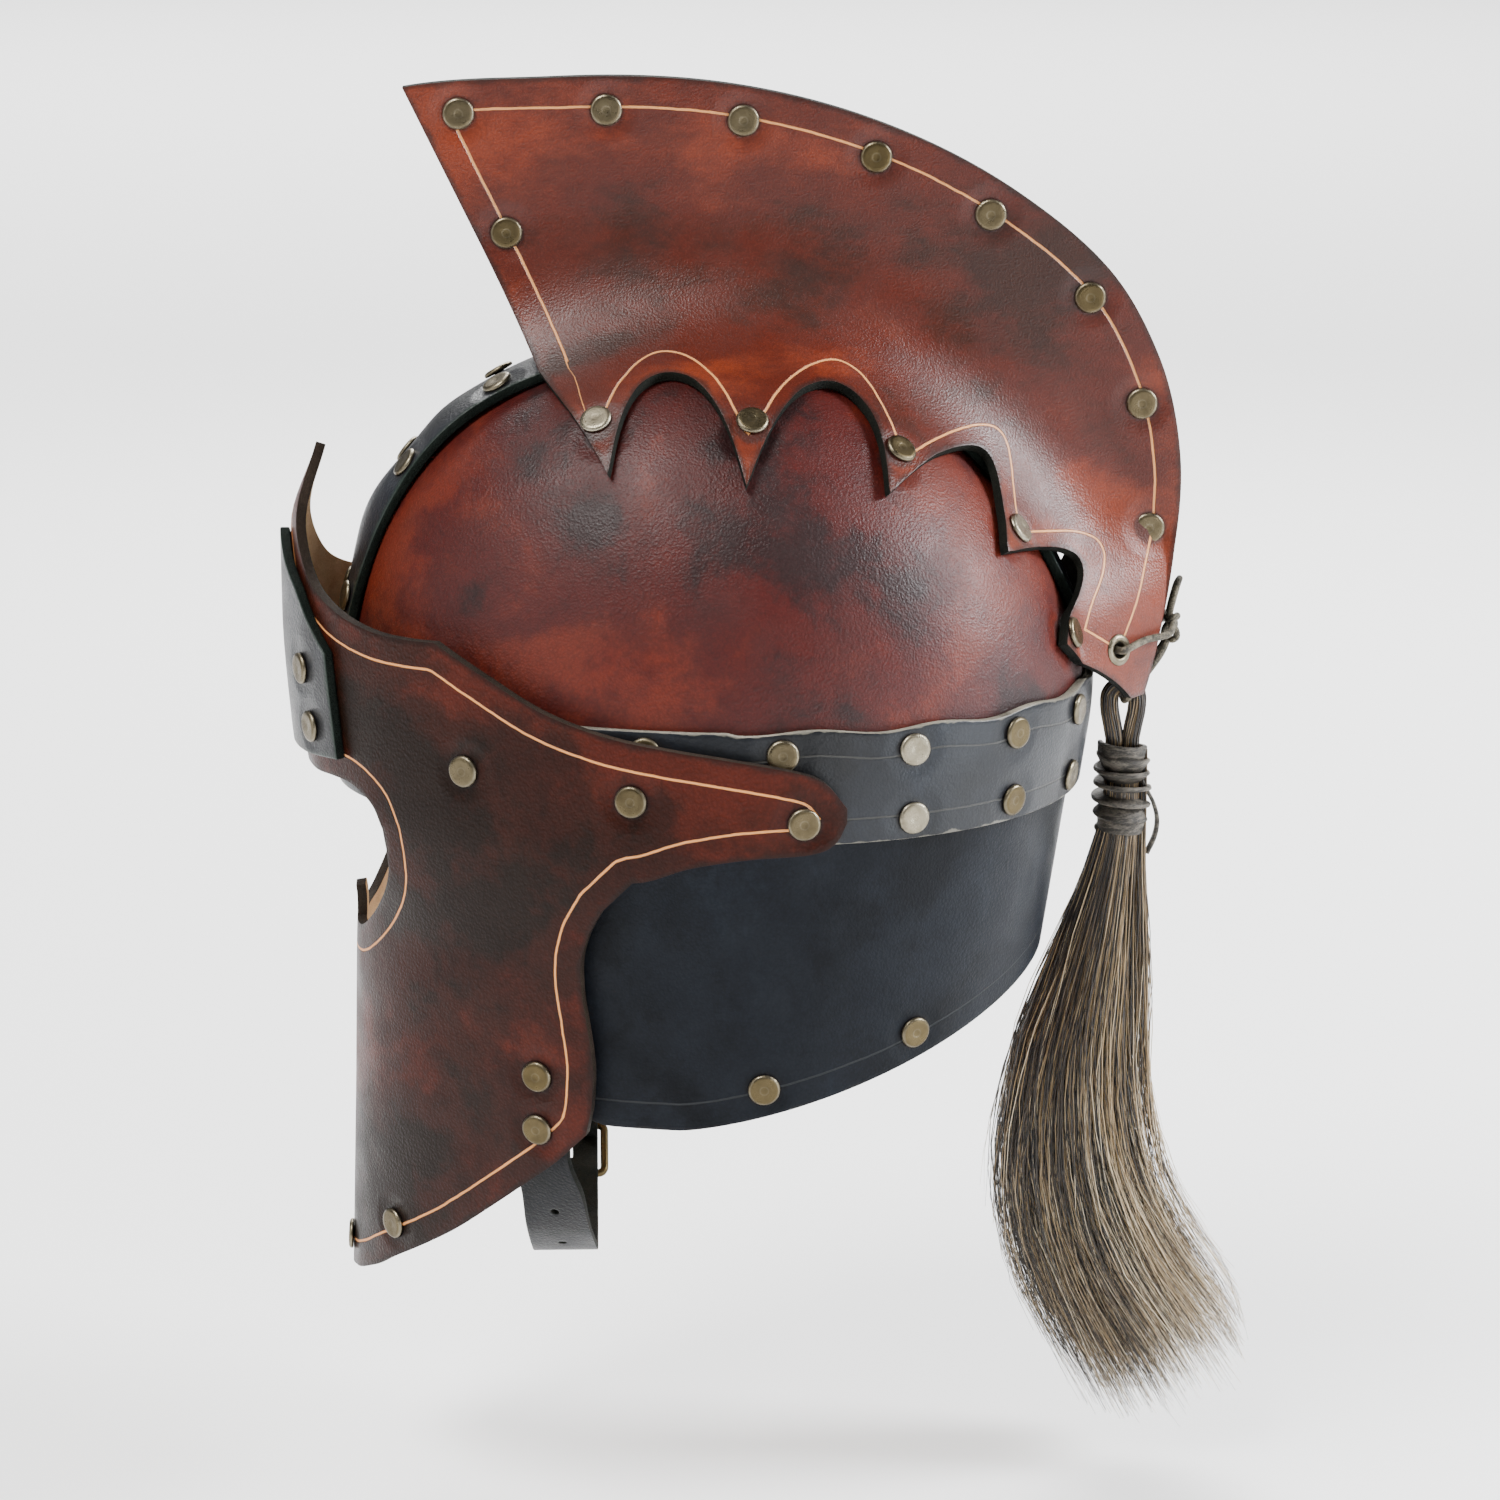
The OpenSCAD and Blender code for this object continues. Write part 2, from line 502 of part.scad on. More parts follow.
// Rivets along the crest's outer edge, one lower down at its front
ridge_angles = [112.5, 100, 87.5, 74.5, 62, 49, 37, 24];
ridge_inset = 10;
module rivets_crest_ridge() {
    grip = leaf_gap + 2 * hide_t;
    color([0.6, 0.55, 0.42]) {
        for (f = ridge_angles) let(r = at(f, crest_edge) - ridge_inset)
            translate(fan_pt(grip / 2, r, f)) rotate([0, 90, 0]) ridge_rivet(grip);
        translate(fan_pt(grip / 2, crest_front_r - 51.5, 112.8)) rotate([0, 90, 0]) ridge_rivet(grip);
    }
}

// Rivets that hold the crest's points down on the skull panels
point_rivets = [[110, 47], [85, 54], [60, 47], [36, 34], [17, 32]];
module rivets_crest_points() {
    grip = 2 * hide_t + crown_gap;
    color([0.6, 0.55, 0.42]) both_sides() for (q = point_rivets) let(
            up = crown_gap + hide_t,
            p = fan_pt(q[1], dome_r(q[1], q[0], up), q[0]),
            a = fan_pt(q[1], dome_r(q[1], q[0] - 1, up), q[0] - 1),
            b = fan_pt(q[1] + 1, dome_r(q[1] + 1, q[0], up), q[0]))
        point_to(p, cross(b - p, a - p)) rivet(grip);
}

// Rivets along the centre strap's two edges, where the crest leaves it free
strap_rivet_angles = [160, 139, 122, 13];
strap_rivet_inset = 6.5;
module rivets_skull_strap() {
    grip = hide_t + strap_t + crown_gap;
    x = strap_w / 2 - strap_rivet_inset;
    color([0.6, 0.55, 0.42]) both_sides() for (f = strap_rivet_angles) let(
            up = crown_gap + strap_t,
            p = fan_pt(x, dome_r(x, f, up), f),
            a = fan_pt(x, dome_r(x, f - 1, up), f - 1),
            b = fan_pt(x + 1, dome_r(x + 1, f, up), f))
        point_to(p, cross(b - p, a - p)) rivet(grip);
}

// Rivets of the head band: the upper row holds the panels, the lower row the neck guard
band_row = 10.2;
band_grip = 2 * hide_t + layer_gap;
module rivets_band_upper() {
    color([0.6, 0.55, 0.42]) both_sides() for (a = [-62, -11.5, 8, 28, 48, 68])
        rivet_on(function(u, v) skull_pt(u, v, band_out), a, band_row, band_grip);
}
module rivets_band_lower() {
    color([0.6, 0.55, 0.42]) both_sides() for (a = [28, 48, 68])
        rivet_on(function(u, v) skull_pt(u, v, band_out), a, -band_row, band_grip);
}

// Rivets along the neck guard's lower edge
neck_rivet_rise = 9;
module rivets_neck_guard() {
    color([0.6, 0.55, 0.42]) both_sides() for (a = [6, 32])
        rivet_on(function(u, v) neck_pt(u, v, 0), a, neck_bottom(a) + neck_rivet_rise, hide_t);
}

// Rivets of the mask: three through the band at the temple, two that hold the chin
// strap inside the cheek, and three at the chin
module rivets_temple() {
    color([0.6, 0.55, 0.42]) both_sides() for (q = [[-38.5, 1], [-13, -3], [10.5, -8.7]])
        rivet_on(function(u, v) mask_pt(u, v, 0), q[0], q[1],
            mask_out(q[0], q[1]) + hide_t);
}
cheek_rivets = [[-29, -91], [-29.5, -108]];
module rivets_cheek() {
    color([0.6, 0.55, 0.42]) both_sides() for (q = cheek_rivets)
        rivet_on(function(u, v) mask_pt(u, v, 0), q[0], q[1], hide_t + chin_gap + chin_t);
}
module rivets_chin() {
    color([0.6, 0.55, 0.42]) {
        both_sides() rivet_on(function(u, v) mask_pt(u, v, 0), -65, -151.5, hide_t);
        rivet_on(function(u, v) mask_pt(u, v, 0), -90, -chin_drop + 9, hide_t);
    }
}

// Rivets of the brow plate
module rivets_brow_plate() {
    up = layer_gap + plate_t;
    color([0.6, 0.55, 0.42]) {
        both_sides() for (q = [[-75, 21.5], [-72.5, 4.5]])
            rivet_on(function(u, v) mask_pt(u, v, up), q[0], q[1], up + hide_t);
    }
}

// Chin strap: from the left cheek under the chin, through the buckle on the right side.
// The buckle's own axes are u up the strap, v back and n away from the chin.
buckle_at = [-46, -48, -148];
buckle_tilt = 40;
buckle_turn = buckle_tilt + 180;
wire_r = wire_d / 2;
fold_r = wire_r + bar_play + chin_t;
function buckle_pt(u, v, n) = buckle_at + [
    -cos(buckle_tilt) * u - sin(buckle_tilt) * n, v, sin(buckle_tilt) * u - cos(buckle_tilt) * n];
module at_buckle() {
    translate(buckle_at) rotate([0, buckle_turn, 0]) children();
}
cheek_a = -31;
function cheek_pt(z) = mask_pt(cheek_a, z, -hide_t - chin_gap - chin_t / 2);
cheek_side = unit(mask_pt(cheek_a + 4, -100, 0) - mask_pt(cheek_a - 4, -100, 0));
chin_free = [[62, -51.5, -131], [52, -50, -145], [36, -48.5, -157.5], [18, -48, -165.5],
    [0, -48, -168.5], [-15, -48, -167.5]];
billet_low = -wire_r - 0.6 - chin_t / 2;
billet_high = fold_r + layer_gap + chin_t / 2;
billet_over = chin_t + layer_gap + chin_t / 2;
chin_line = concat([cheek_pt(-83), cheek_pt(-95), cheek_pt(-107), cheek_pt(-119)], chin_free, [
    buckle_pt(-buckle_l - 6, 0, billet_low + 0.4), buckle_pt(-buckle_l, 0, billet_low),
    buckle_pt(-buckle_l * 0.5, 0, (billet_low + billet_high) / 2 - 0.2),
    buckle_pt(-1, 0, billet_high), buckle_pt(6, 0, billet_over + 0.1),
    buckle_pt(12, 0, billet_over), buckle_pt(22, 0, billet_over)]);
chin_steps = 2;
prong_slot_l = 11;
// Each adjustment hole: the free point it lies towards from the second one, its share of
// the holes' distance, and its axis, square to the strap
chin_holes = [[0, 1 / 3, [0.81, -0.05, -0.58]], [2, 2 / 3, [0.66, -0.05, -0.75]]];
module chin_strap() {
    route = spline(chin_line, chin_steps);
    turn_from = 3 * chin_steps;
    turn_to = 7 * chin_steps;
    side = function(k) unit(mix(cheek_side, [0, 1, 0], ease((k - turn_from) / (turn_to - turn_from))));
    color([0.12, 0.13, 0.14]) difference() {
        ribbon(route, side, chin_w, chin_t);
        for (q = chin_holes) let(
                p = chin_free[1] + unit(chin_free[q[0]] - chin_free[1]) * chin_hole_step * q[1])
            point_to(p, q[2]) cylinder(d = chin_hole_d, h = 4 * chin_t, center = true, $fn = 12);
        at_buckle() translate([-buckle_l / 2 + 0.8, 0, 0])
            cube([prong_slot_l, wire_d + 1, 8 * chin_t], center = true);
    }
}

// Short strap from the right cheek, folded round the buckle's bar and skived along its
// edges where it leaves the fold
fold_l = 17;
fold_slot_l = 14;
skive = 0.15;
module buckle_strap() {
    route = spline([buckle_pt(fold_l - 3, 0, 0), buckle_pt(fold_l + 5, 0, -0.5),
        each [for (z = [-119, -107, -95, -83]) let(p = cheek_pt(z)) [-p.x, p.y, p.z]]], chin_steps);
    end_side = [-cheek_side.x, cheek_side.y, cheek_side.z];
    side = function(k) unit(mix([0, 1, 0], end_side, ease(k / (2 * chin_steps))));
    color([0.12, 0.13, 0.14]) {
        at_buckle() difference() {
            union() {
                rotate([90, 0, 0]) cylinder(r = fold_r, h = chin_w, center = true, $fn = 32);
                translate([0, -chin_w / 2, -chin_t]) cube([fold_l, chin_w, 2 * chin_t]);
            }
            rotate([90, 0, 0]) cylinder(r = wire_r + bar_play, h = 2 * chin_w, center = true, $fn = 32);
            cube([fold_slot_l, wire_d + 2, 4 * fold_r], center = true);
        }
        ribbon(route, side, chin_w - 2 * skive, chin_t);
    }
}

// Loop that holds the strap's end down on the buckle strap
module strap_keeper() {
    low = -chin_t - layer_gap;
    high = billet_over + chin_t / 2 + layer_gap;
    wide = chin_w + 4 * layer_gap;
    color([0.12, 0.13, 0.14]) at_buckle() translate([10.5, 0, (low + high) / 2]) difference() {
        cube([keeper_w, wide + 2 * keeper_t, high - low + 2 * keeper_t], center = true);
        cube([2 * keeper_w, wide, high - low], center = true);
    }
}

// Buckle frame, a wire rectangle whose bar lies in the strap's fold
frame_half_w = chin_w / 2 + 0.8 + wire_r;
module buckle_frame() {
    color([0.62, 0.56, 0.42]) at_buckle() {
        for (u = [0, -buckle_l]) translate([u, 0, 0]) rotate([90, 0, 0])
            cylinder(d = wire_d, h = 2 * frame_half_w, center = true, $fn = 24);
        for (v = [-1, 1]) translate([-buckle_l / 2, v * frame_half_w, 0]) rotate([0, 90, 0])
            cylinder(d = wire_d, h = buckle_l, center = true, $fn = 24);
        for (u = [0, -buckle_l], v = [-1, 1]) translate([u, v * frame_half_w, 0])
            sphere(d = wire_d, $fn = 24);
    }
}

// Prong, which turns on the bar, passes through the strap and rests on the frame's end
prong_d = 2.2;
prong_rise = atan((wire_r + prong_d / 2 + 0.1) / buckle_l);
module buckle_prong() {
    ring_r = wire_r + bar_play;
    color([0.62, 0.56, 0.42]) at_buckle() difference() {
        union() {
            rotate([90, 0, 0]) cylinder(r = ring_r + 0.9, h = wire_d, center = true, $fn = 24);
            rotate([0, prong_rise, 0]) translate([-buckle_l - 1, 0, 0]) rotate([0, 90, 0])
                cylinder(d = prong_d, h = buckle_l + 1 - ring_r - 0.4, $fn = 20);
        }
        rotate([90, 0, 0]) cylinder(r = ring_r, h = 2 * wire_d, center = true, $fn = 24);
    }
}

// Tail: the lace passes through both eyelets and ends in a knot behind the crest. A sling
// hangs from the knot and carries the hair's loop. The lengths along y and z are taken
// from the middle of the hair's loop, which is where the tail swings.
tail_at = [0, skull_half_l + 12, 4.5];
knot_at = tail_at + [0, 14, 23];
knot_size = 1.55;
module tail_lace() {
    e = eyelet_at(0);
    n = eyelet_axis();
    half = [e - n * 5.5, e, e + n * 4, e + n * 4 + [-7, 7, 1.5], knot_at + [11, -2, -0.5],
        knot_at + [2.5 * knot_size, 0, knot_size]];
    other = [for (k = [len(half) - 1:-1:0]) [-half[k].x, half[k].y, half[k].z]];
    color([0.25, 0.22, 0.18]) tube(spline(concat(other, half), 3), lace_d, 8);
}
module tail_knot() {
    turns = 30;
    route = [for (k = [0:turns - 1]) let(a = 360 * k / turns) knot_at + knot_size
        * [sin(a) + 2 * sin(2 * a), -1.1 * sin(3 * a), cos(a) - 2 * cos(2 * a)]];
    color([0.25, 0.22, 0.18]) tube(route, lace_d, 6, ring = true);
}
sling_half = hair_loop_d / 2 + lace_d / 2 + 0.8;
module tail_sling() {
    half = [[0.55 * sling_half, 0, 0], [sling_half, 1, 1.6], [sling_half, 4.5, 6.5],
        [sling_half * 0.9, 8, 11], [sling_half * 0.5, 11, 14.8]];
    other = [for (k = [len(half) - 1:-1:0]) [-half[k].x, half[k].y, half[k].z]];
    points = concat([[0, 0, 0]], half, [[0, 12.3, 16.4]], other);
    route = [for (p = spline(concat(points, [points[0]]), 3)) tail_at + p];
    color([0.25, 0.22, 0.18])
        tube([for (k = [0:len(route) - 2]) route[k]], lace_d, 8, ring = true);
}

// Hair bent over the sling, its two legs going down into the whipping
whip_top = -9;
loop_r = hair_loop_d / 2 + lace_d / 2 + 0.35;
leg_in = 2.5;
module tail_hair_loop() {
    legs = [[-leg_in, whip_top - tail_at.z], [-leg_in, whip_top - tail_at.z + 4],
        [-loop_r + 0.3, -4.5]];
    arc = [for (a = [180:-30:0]) loop_r * [cos(a), sin(a)]];
    path = concat(legs, arc, [for (k = [2:-1:0]) [-legs[k][0], legs[k][1]]]);
    color([0.3, 0.24, 0.16]) tube([for (p = path) tail_at + [0, p[0], p[1]]], hair_loop_d, 10);
}

// Whipping: one flat lace wound round the hair, whose lower end is left loose
whip_r = hair_core_d / 2 + 0.3 + whip_t / 2;
whip_steps = 20;
whip_rings = whip_turns * whip_steps;
whip_end = 10;
function whip_point(k) = let(a = 360 * k / whip_steps - 90)
    k <= whip_rings ? tail_at + [whip_r * cos(a), whip_r * sin(a),
        whip_top - tail_at.z - whip_w / 2 - 0.4 - whip_pitch * k / whip_steps]
    : let(b = 360 * whip_rings / whip_steps - 90, e = k - whip_rings, h = e / whip_end,
        from = whip_point(whip_rings), go = [-sin(b), cos(b), 0], out = [cos(b), sin(b), 0])
      from + go * 16 * sin(70 * h) + out * -9 * h * h + [0, 0, -15 * h * h - 1.5 * h];
whip_section = [[0.5, -0.28], [0.5, 0.28], [0, 0.5], [-0.5, 0.28], [-0.5, -0.28], [0, -0.5]];
whip_grid = [for (k = [0:whip_rings + whip_end]) let(
        t = unit(whip_point(k + 0.5) - whip_point(k - 0.5)),
        up = unit([0, 0, 1] - t * t.z), out = cross(t, up))
    [for (q = whip_section) whip_point(k) + out * q[0] * whip_t + up * q[1] * whip_w]];
// Least gap between two turns, measured on the section's points and printed
whip_gap = min([for (k = [0:whip_rings - whip_steps], m = [-2:2 + whip_end])
    let(j = k + whip_steps + m) if (j <= whip_rings + whip_end)
        min([for (p = whip_grid[k], q = whip_grid[j]) norm(p - q)])]);
module tail_whipping() {
    last = whip_rings + whip_end;
    echo(least_gap_between_turns = whip_gap);
    color([0.22, 0.2, 0.18]) polyhedron([for (r = whip_grid) each r], concat(
        [for (m = [1:4]) [0, m + 1, m]],
        [for (m = [1:4]) [6 * last, 6 * last + m, 6 * last + m + 1]],
        [for (k = [0:last - 1], m = [0:5]) let(a = 6 * k + m, b = 6 * k + (m + 1) % 6)
            each [[a, b, b + 6], [a, b + 6, a + 6]]]));
}

// Hair: strands of three sides that leave the core's lower face, one from every second
// cell of a round lattice, and keep their order all the way down, so that none cross.
// Each level is its height, the middle's y, and the half widths along x and y.
hair_levels = [
    [whip_top - whip_turns * whip_pitch - whip_w - 0.4, tail_at.y, hair_core_d / 2, hair_core_d / 2],
    [-98, tail_at.y - 7, 13, 17],
    [-150, tail_at.y - 11, 17, 22],
    [-232, tail_at.y + 12, 20, 27]];
hair_short = 0.4;
strand_r = 0.6;
function ring_pt(k, m) = k == 0 ? [0, 0] : (k / hair_rings) * [cos(60 * m / k), sin(60 * m / k)];
function hair_pt(level, q) = let(h = hair_levels[level])
    [h[2] * q[0], h[1] + h[3] * q[1], h[0]];
function ring_id(k, m) = k == 0 ? 0 : 3 * k * (k - 1) + 1 + (m % (6 * k));
module tail_hair() {
    count = 3 * hair_rings * (hair_rings + 1) + 1;
    rim = count - 6 * hair_rings;
    root = [for (k = [0:hair_rings], m = [0:max(6 * k - 1, 0)]) hair_pt(0, ring_pt(k, m))];
    top = [for (m = [0:6 * hair_rings - 1]) let(p = root[rim + m]) [p.x, p.y, whip_top]];
    cells = [for (k = [1:hair_rings], s = [0:5], m = [0:k - 1])
        [[k, s * k + m], [k, s * k + m + 1], [k - 1, k == 1 ? 0 : s * (k - 1) + m]]];
    flats = [for (k = [2:hair_rings], s = [0:5], m = [0:k - 2])
        [ring_id(k, s * k + m + 1), ring_id(k - 1, s * (k - 1) + m + 1), ring_id(k - 1, s * (k - 1) + m)]];
    base = count + 6 * hair_rings;
    strands = [for (n = [0:len(cells) - 1]) let(
            c = cells[n], q = (ring_pt(c[0][0], c[0][1]) + ring_pt(c[1][0], c[1][1])
                + ring_pt(c[2][0], c[2][1])) / 3,
            turn = atan2(q[1], q[0]), cut = 1 - hair_short * scatter(n),
            tip = mix(hair_pt(2, q), hair_pt(3, q), cut))
        each [for (level = [1, 2], b = [-60, 60, 180])
            hair_pt(level, q) + strand_r * [cos(turn + b), sin(turn + b), 0], tip]];
    faces = [for (n = [0:len(cells) - 1]) let(
            v = [for (c = cells[n]) ring_id(c[0], c[1])], e = base + 7 * n)
        each [for (m = [0:2]) let(p = (m + 1) % 3) each [
            [v[m], v[p], e + p], [v[m], e + p, e + m],
            [e + m, e + p, e + 3 + p], [e + m, e + 3 + p, e + 3 + m],
            [e + 3 + m, e + 3 + p, e + 6]]]];
    lid = count;
    color([0.3, 0.24, 0.16]) polyhedron(concat(root, top, strands), concat(flats, faces,
        [for (m = [0:6 * hair_rings - 1]) let(p = (m + 1) % (6 * hair_rings))
            each [[rim + m, lid + m, lid + p], [rim + m, lid + p, rim + p]]],
        [for (m = [1:6 * hair_rings - 2]) [lid, lid + m + 1, lid + m]]));
}

skull_panel_left();
skull_panel_right();
skull_strap();
head_band();
neck_guard();
face_mask();
brow_plate();
crest_left();
crest_right();
crest_eyelets();
rivets_crest_ridge();
rivets_crest_points();
rivets_skull_strap();
rivets_band_upper();
rivets_band_lower();
rivets_neck_guard();
rivets_temple();
rivets_cheek();
rivets_chin();
rivets_brow_plate();
chin_strap();
buckle_strap();
strap_keeper();
buckle_frame();
buckle_prong();
tail_lace();
tail_knot();
tail_sling();
tail_hair_loop();
tail_whipping();
tail_hair();
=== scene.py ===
# %% [markdown]
# # A riveted leather helmet, dressed in Blender
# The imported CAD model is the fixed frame: it says where every sheet, rivet and lace is.
# This lesson lays finer leather, metal and hair over it, one piece at a time, and every
# piece rides on the CAD body that carries it.

# %% Load the frame
import json
import math
import random

import bmesh
import bpy
import numpy as np
from mathutils import Matrix, Vector, kdtree

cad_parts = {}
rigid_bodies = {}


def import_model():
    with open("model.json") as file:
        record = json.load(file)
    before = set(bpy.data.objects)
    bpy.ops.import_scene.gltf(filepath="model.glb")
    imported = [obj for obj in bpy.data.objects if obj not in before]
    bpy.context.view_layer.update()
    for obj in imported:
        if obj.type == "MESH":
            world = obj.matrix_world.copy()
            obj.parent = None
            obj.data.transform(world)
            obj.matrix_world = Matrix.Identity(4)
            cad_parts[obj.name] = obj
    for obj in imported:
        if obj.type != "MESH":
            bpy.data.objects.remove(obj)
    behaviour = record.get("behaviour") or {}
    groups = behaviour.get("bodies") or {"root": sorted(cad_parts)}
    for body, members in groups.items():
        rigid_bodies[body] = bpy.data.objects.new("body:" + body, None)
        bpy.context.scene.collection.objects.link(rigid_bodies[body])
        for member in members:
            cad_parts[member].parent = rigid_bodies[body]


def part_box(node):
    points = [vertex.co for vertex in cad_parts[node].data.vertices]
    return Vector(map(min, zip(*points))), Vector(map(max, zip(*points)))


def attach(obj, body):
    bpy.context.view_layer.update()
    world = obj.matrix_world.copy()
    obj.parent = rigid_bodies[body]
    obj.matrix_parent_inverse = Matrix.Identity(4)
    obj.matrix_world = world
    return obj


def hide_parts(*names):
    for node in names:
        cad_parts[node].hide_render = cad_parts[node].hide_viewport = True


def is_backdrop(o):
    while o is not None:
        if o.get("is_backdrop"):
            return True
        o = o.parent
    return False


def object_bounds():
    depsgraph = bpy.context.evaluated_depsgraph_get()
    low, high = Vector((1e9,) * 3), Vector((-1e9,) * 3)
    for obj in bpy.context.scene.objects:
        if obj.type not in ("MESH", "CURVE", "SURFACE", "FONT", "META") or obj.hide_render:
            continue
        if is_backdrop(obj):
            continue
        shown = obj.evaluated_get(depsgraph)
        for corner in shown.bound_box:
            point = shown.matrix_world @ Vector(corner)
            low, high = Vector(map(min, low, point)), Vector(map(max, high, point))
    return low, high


for leftover in list(bpy.data.objects):
    bpy.data.objects.remove(leftover)
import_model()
cad_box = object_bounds()
MM = 0.001

# %% [markdown]
# The camera stands where the photograph was taken from: beside the wearer's left ear, a
# little in front and 14 degrees up. A long lens keeps the sheets' proportions.

# %% Camera
look_at = Vector((0, 10, -11)) * MM
camera = bpy.data.objects.new("camera", bpy.data.cameras.new("camera"))
bpy.context.scene.collection.objects.link(camera)
camera.location = Vector((1260.6, -34.0, 303.5)) * MM
camera.rotation_euler = (look_at - camera.location).to_track_quat("-Z", "Y").to_euler()
camera.data.lens = 101.4
camera.data.sensor_width = 36
camera.data.clip_end = 100
bpy.context.scene.camera = camera
print("camera", [round(c, 3) for c in camera.location], "lens", camera.data.lens)

# %% [markdown]
# ## Studio
# A photographer would stand this helmet on white paper under large diffuse lamps. The
# floor is a pale sheet, far wider than the frame, so that no horizon shows. Glowing planes
# could light it, but area lamps give less noise, and as discs they leave no corners in the
# highlights. The strong ones behind and above draw the long sheen on skull and crest, the
# weak ones open the shadows of the black hide, and the widest lights the floor behind.

# %% Lamps
def softbox(name, place, size, power, colour, aim=(0, 0, -0.02)):
    """A round lamp at a place, in metres, turned towards aim; its power is in watts."""
    lamp = bpy.data.lights.new(name, "AREA")
    lamp.shape, lamp.size, lamp.energy, lamp.color = "DISK", size, power, colour
    box = bpy.data.objects.new(name, lamp)
    box.location = place
    box.rotation_euler = (Vector(aim) - Vector(place)).to_track_quat("-Z", "Y").to_euler()
    bpy.context.scene.collection.objects.link(box)

softbox("back_lamp", (0.1, 1.9, 1.0), 0.8, 100, (0.95, 0.97, 1.0))
softbox("top_lamp", (0.75, -0.85, 1.75), 0.9, 54, (1.0, 0.99, 0.97))
softbox("side_lamp", (1.5, 0.75, 0.1), 0.5, 5, (1.0, 0.98, 0.96))
softbox("front_lamp", (0.9, -1.9, 0.7), 1.0, 9, (1.0, 0.98, 0.95))
softbox("far_lamp", (-1.6, 0.1, 1.0), 1.1, 26, (1.0, 0.99, 0.97))
softbox("low_lamp", (0.7, 1.25, -0.1), 0.4, 7, (0.85, 0.92, 1.0))
softbox("floor_lamp", (-5, 0, 4.5), 5.0, 900, (1.0, 1.0, 1.0), (-5.5, 0, -0.3))

# %% Floor and sky
floor_z = cad_box[0][2] - 12 * MM
floor_mesh = bmesh.new()
bmesh.ops.create_grid(floor_mesh, x_segments=2, y_segments=2, size=15)
bmesh.ops.translate(floor_mesh, vec=(0, 0, floor_z), verts=floor_mesh.verts)
floor = bpy.data.objects.new("floor", bpy.data.meshes.new("floor"))
floor_mesh.to_mesh(floor.data)
floor_mesh.free()
bpy.context.scene.collection.objects.link(floor)
pale = bpy.data.materials.new("pale_floor")
pale.use_nodes = True
paper = pale.node_tree.nodes["Principled BSDF"].inputs
paper["Base Color"].default_value = (0.95, 0.95, 0.95, 1)
paper["Roughness"].default_value = 0.9
floor.data.materials.append(pale)
floor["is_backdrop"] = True
sky = bpy.data.worlds.new("studio")
sky.use_nodes = True
air = sky.node_tree.nodes["Background"].inputs
air["Color"].default_value = (1, 1, 1, 1)
air["Strength"].default_value = 0.27
bpy.context.scene.world = sky
print("floor at", round(floor_z, 3))

# %% [markdown]
# ## The forms under the leather
# Every sheet was shaped wet over the same head form. The formulas below are the CAD
# file's own, in millimetres: an oval that closes towards the crown. `smooth` draws one
# soft curve through a table of measured values, so no crease shows at a table's points.

# %% Curves through tables
def smooth(x, table):
    """A soft curve through [place, value] rows, which never swings past them."""
    xs, ys = np.array(table, float).T
    x = np.clip(x, xs[0], xs[-1])
    gap, rise = np.diff(xs), np.diff(ys) / np.diff(xs)
    slope = np.concatenate([rise[:1], np.zeros(len(rise) - 1), rise[-1:]])
    both = rise[1:] * rise[:-1] > 0
    slope[1:-1][both] = (2 * rise[1:] * rise[:-1] / (rise[1:] + rise[:-1] + 1e-12))[both]
    k = np.clip(np.searchsorted(xs, x, side="right") - 1, 0, len(gap) - 1)
    t = (x - xs[k]) / gap[k]
    return ((2 * t**3 - 3 * t**2 + 1) * ys[k] + (t**3 - 2 * t**2 + t) * gap[k] * slope[k]
            + (3 * t**2 - 2 * t**3) * ys[k + 1] + (t**3 - t**2) * gap[k] * slope[k + 1])

def straight(x, table):
    """Straight lines from row to row of a table."""
    xs, ys = np.array(table, float).T
    return np.interp(x, xs, ys)

def mix(p, q, share):
    return p + (q - p) * share

def ease(x):
    """A soft step from 0 to 1."""
    x = np.clip(x, 0, 1)
    return x * x * (3 - 2 * x)

def sin(degrees):
    return np.sin(np.radians(degrees))

def cos(degrees):
    return np.cos(np.radians(degrees))

print("smooth at 5:", round(float(smooth(5, [[0, 0], [10, 4], [20, 5]])), 2))

# %% [markdown]
# The head form is an oval, wider behind the ears than before them, which closes towards
# the crown and is drawn in at the nape, below the band. It could be sculpted, but then
# each sheet would have to be fitted to it by eye. As a formula it answers for any bearing,
# height and distance outside, so all layers of leather lie evenly on each other.

# %% The head form
half_w, half_l, crown_h = 89, 113, 116
hide_t, layer_gap, crown_gap, strap_t, strap_w = 3, 0.3, 0.8, 3, 36
band_h = 33
band_out = layer_gap + hide_t
other_side = np.array([-1, 1, 1])

def dome_power(s):
    """How squarely the dome closes; s is -1 at the brow and 1 at the nape."""
    return 2.15 - 0.25 * s

def widening(s):
    return 1 + 0.12 * s

def nape_pull(a, z):
    return 0.15 * np.maximum(band_h / 2 - z, 0) * np.maximum(sin(a), 0) ** 2

def oval_point(a, z, grow, close=1.0):
    return np.stack([(half_w + grow) * cos(a) * widening(sin(a)) * close,
                     (half_l + grow) * sin(a) * close, z + 0 * a], -1)

def head_point(a, z, off):
    """Bearing a from the left ear, 0, over the nape, 90; off is the distance outside."""
    power = dome_power(sin(a))
    close = (1 - np.clip(z / (crown_h + off), 0, 1) ** power) ** (1 / power)
    return oval_point(a, z, off - nape_pull(a, z), close)

print("brow", head_point(np.array([-90.0]), 0, 0)[0].round(1))

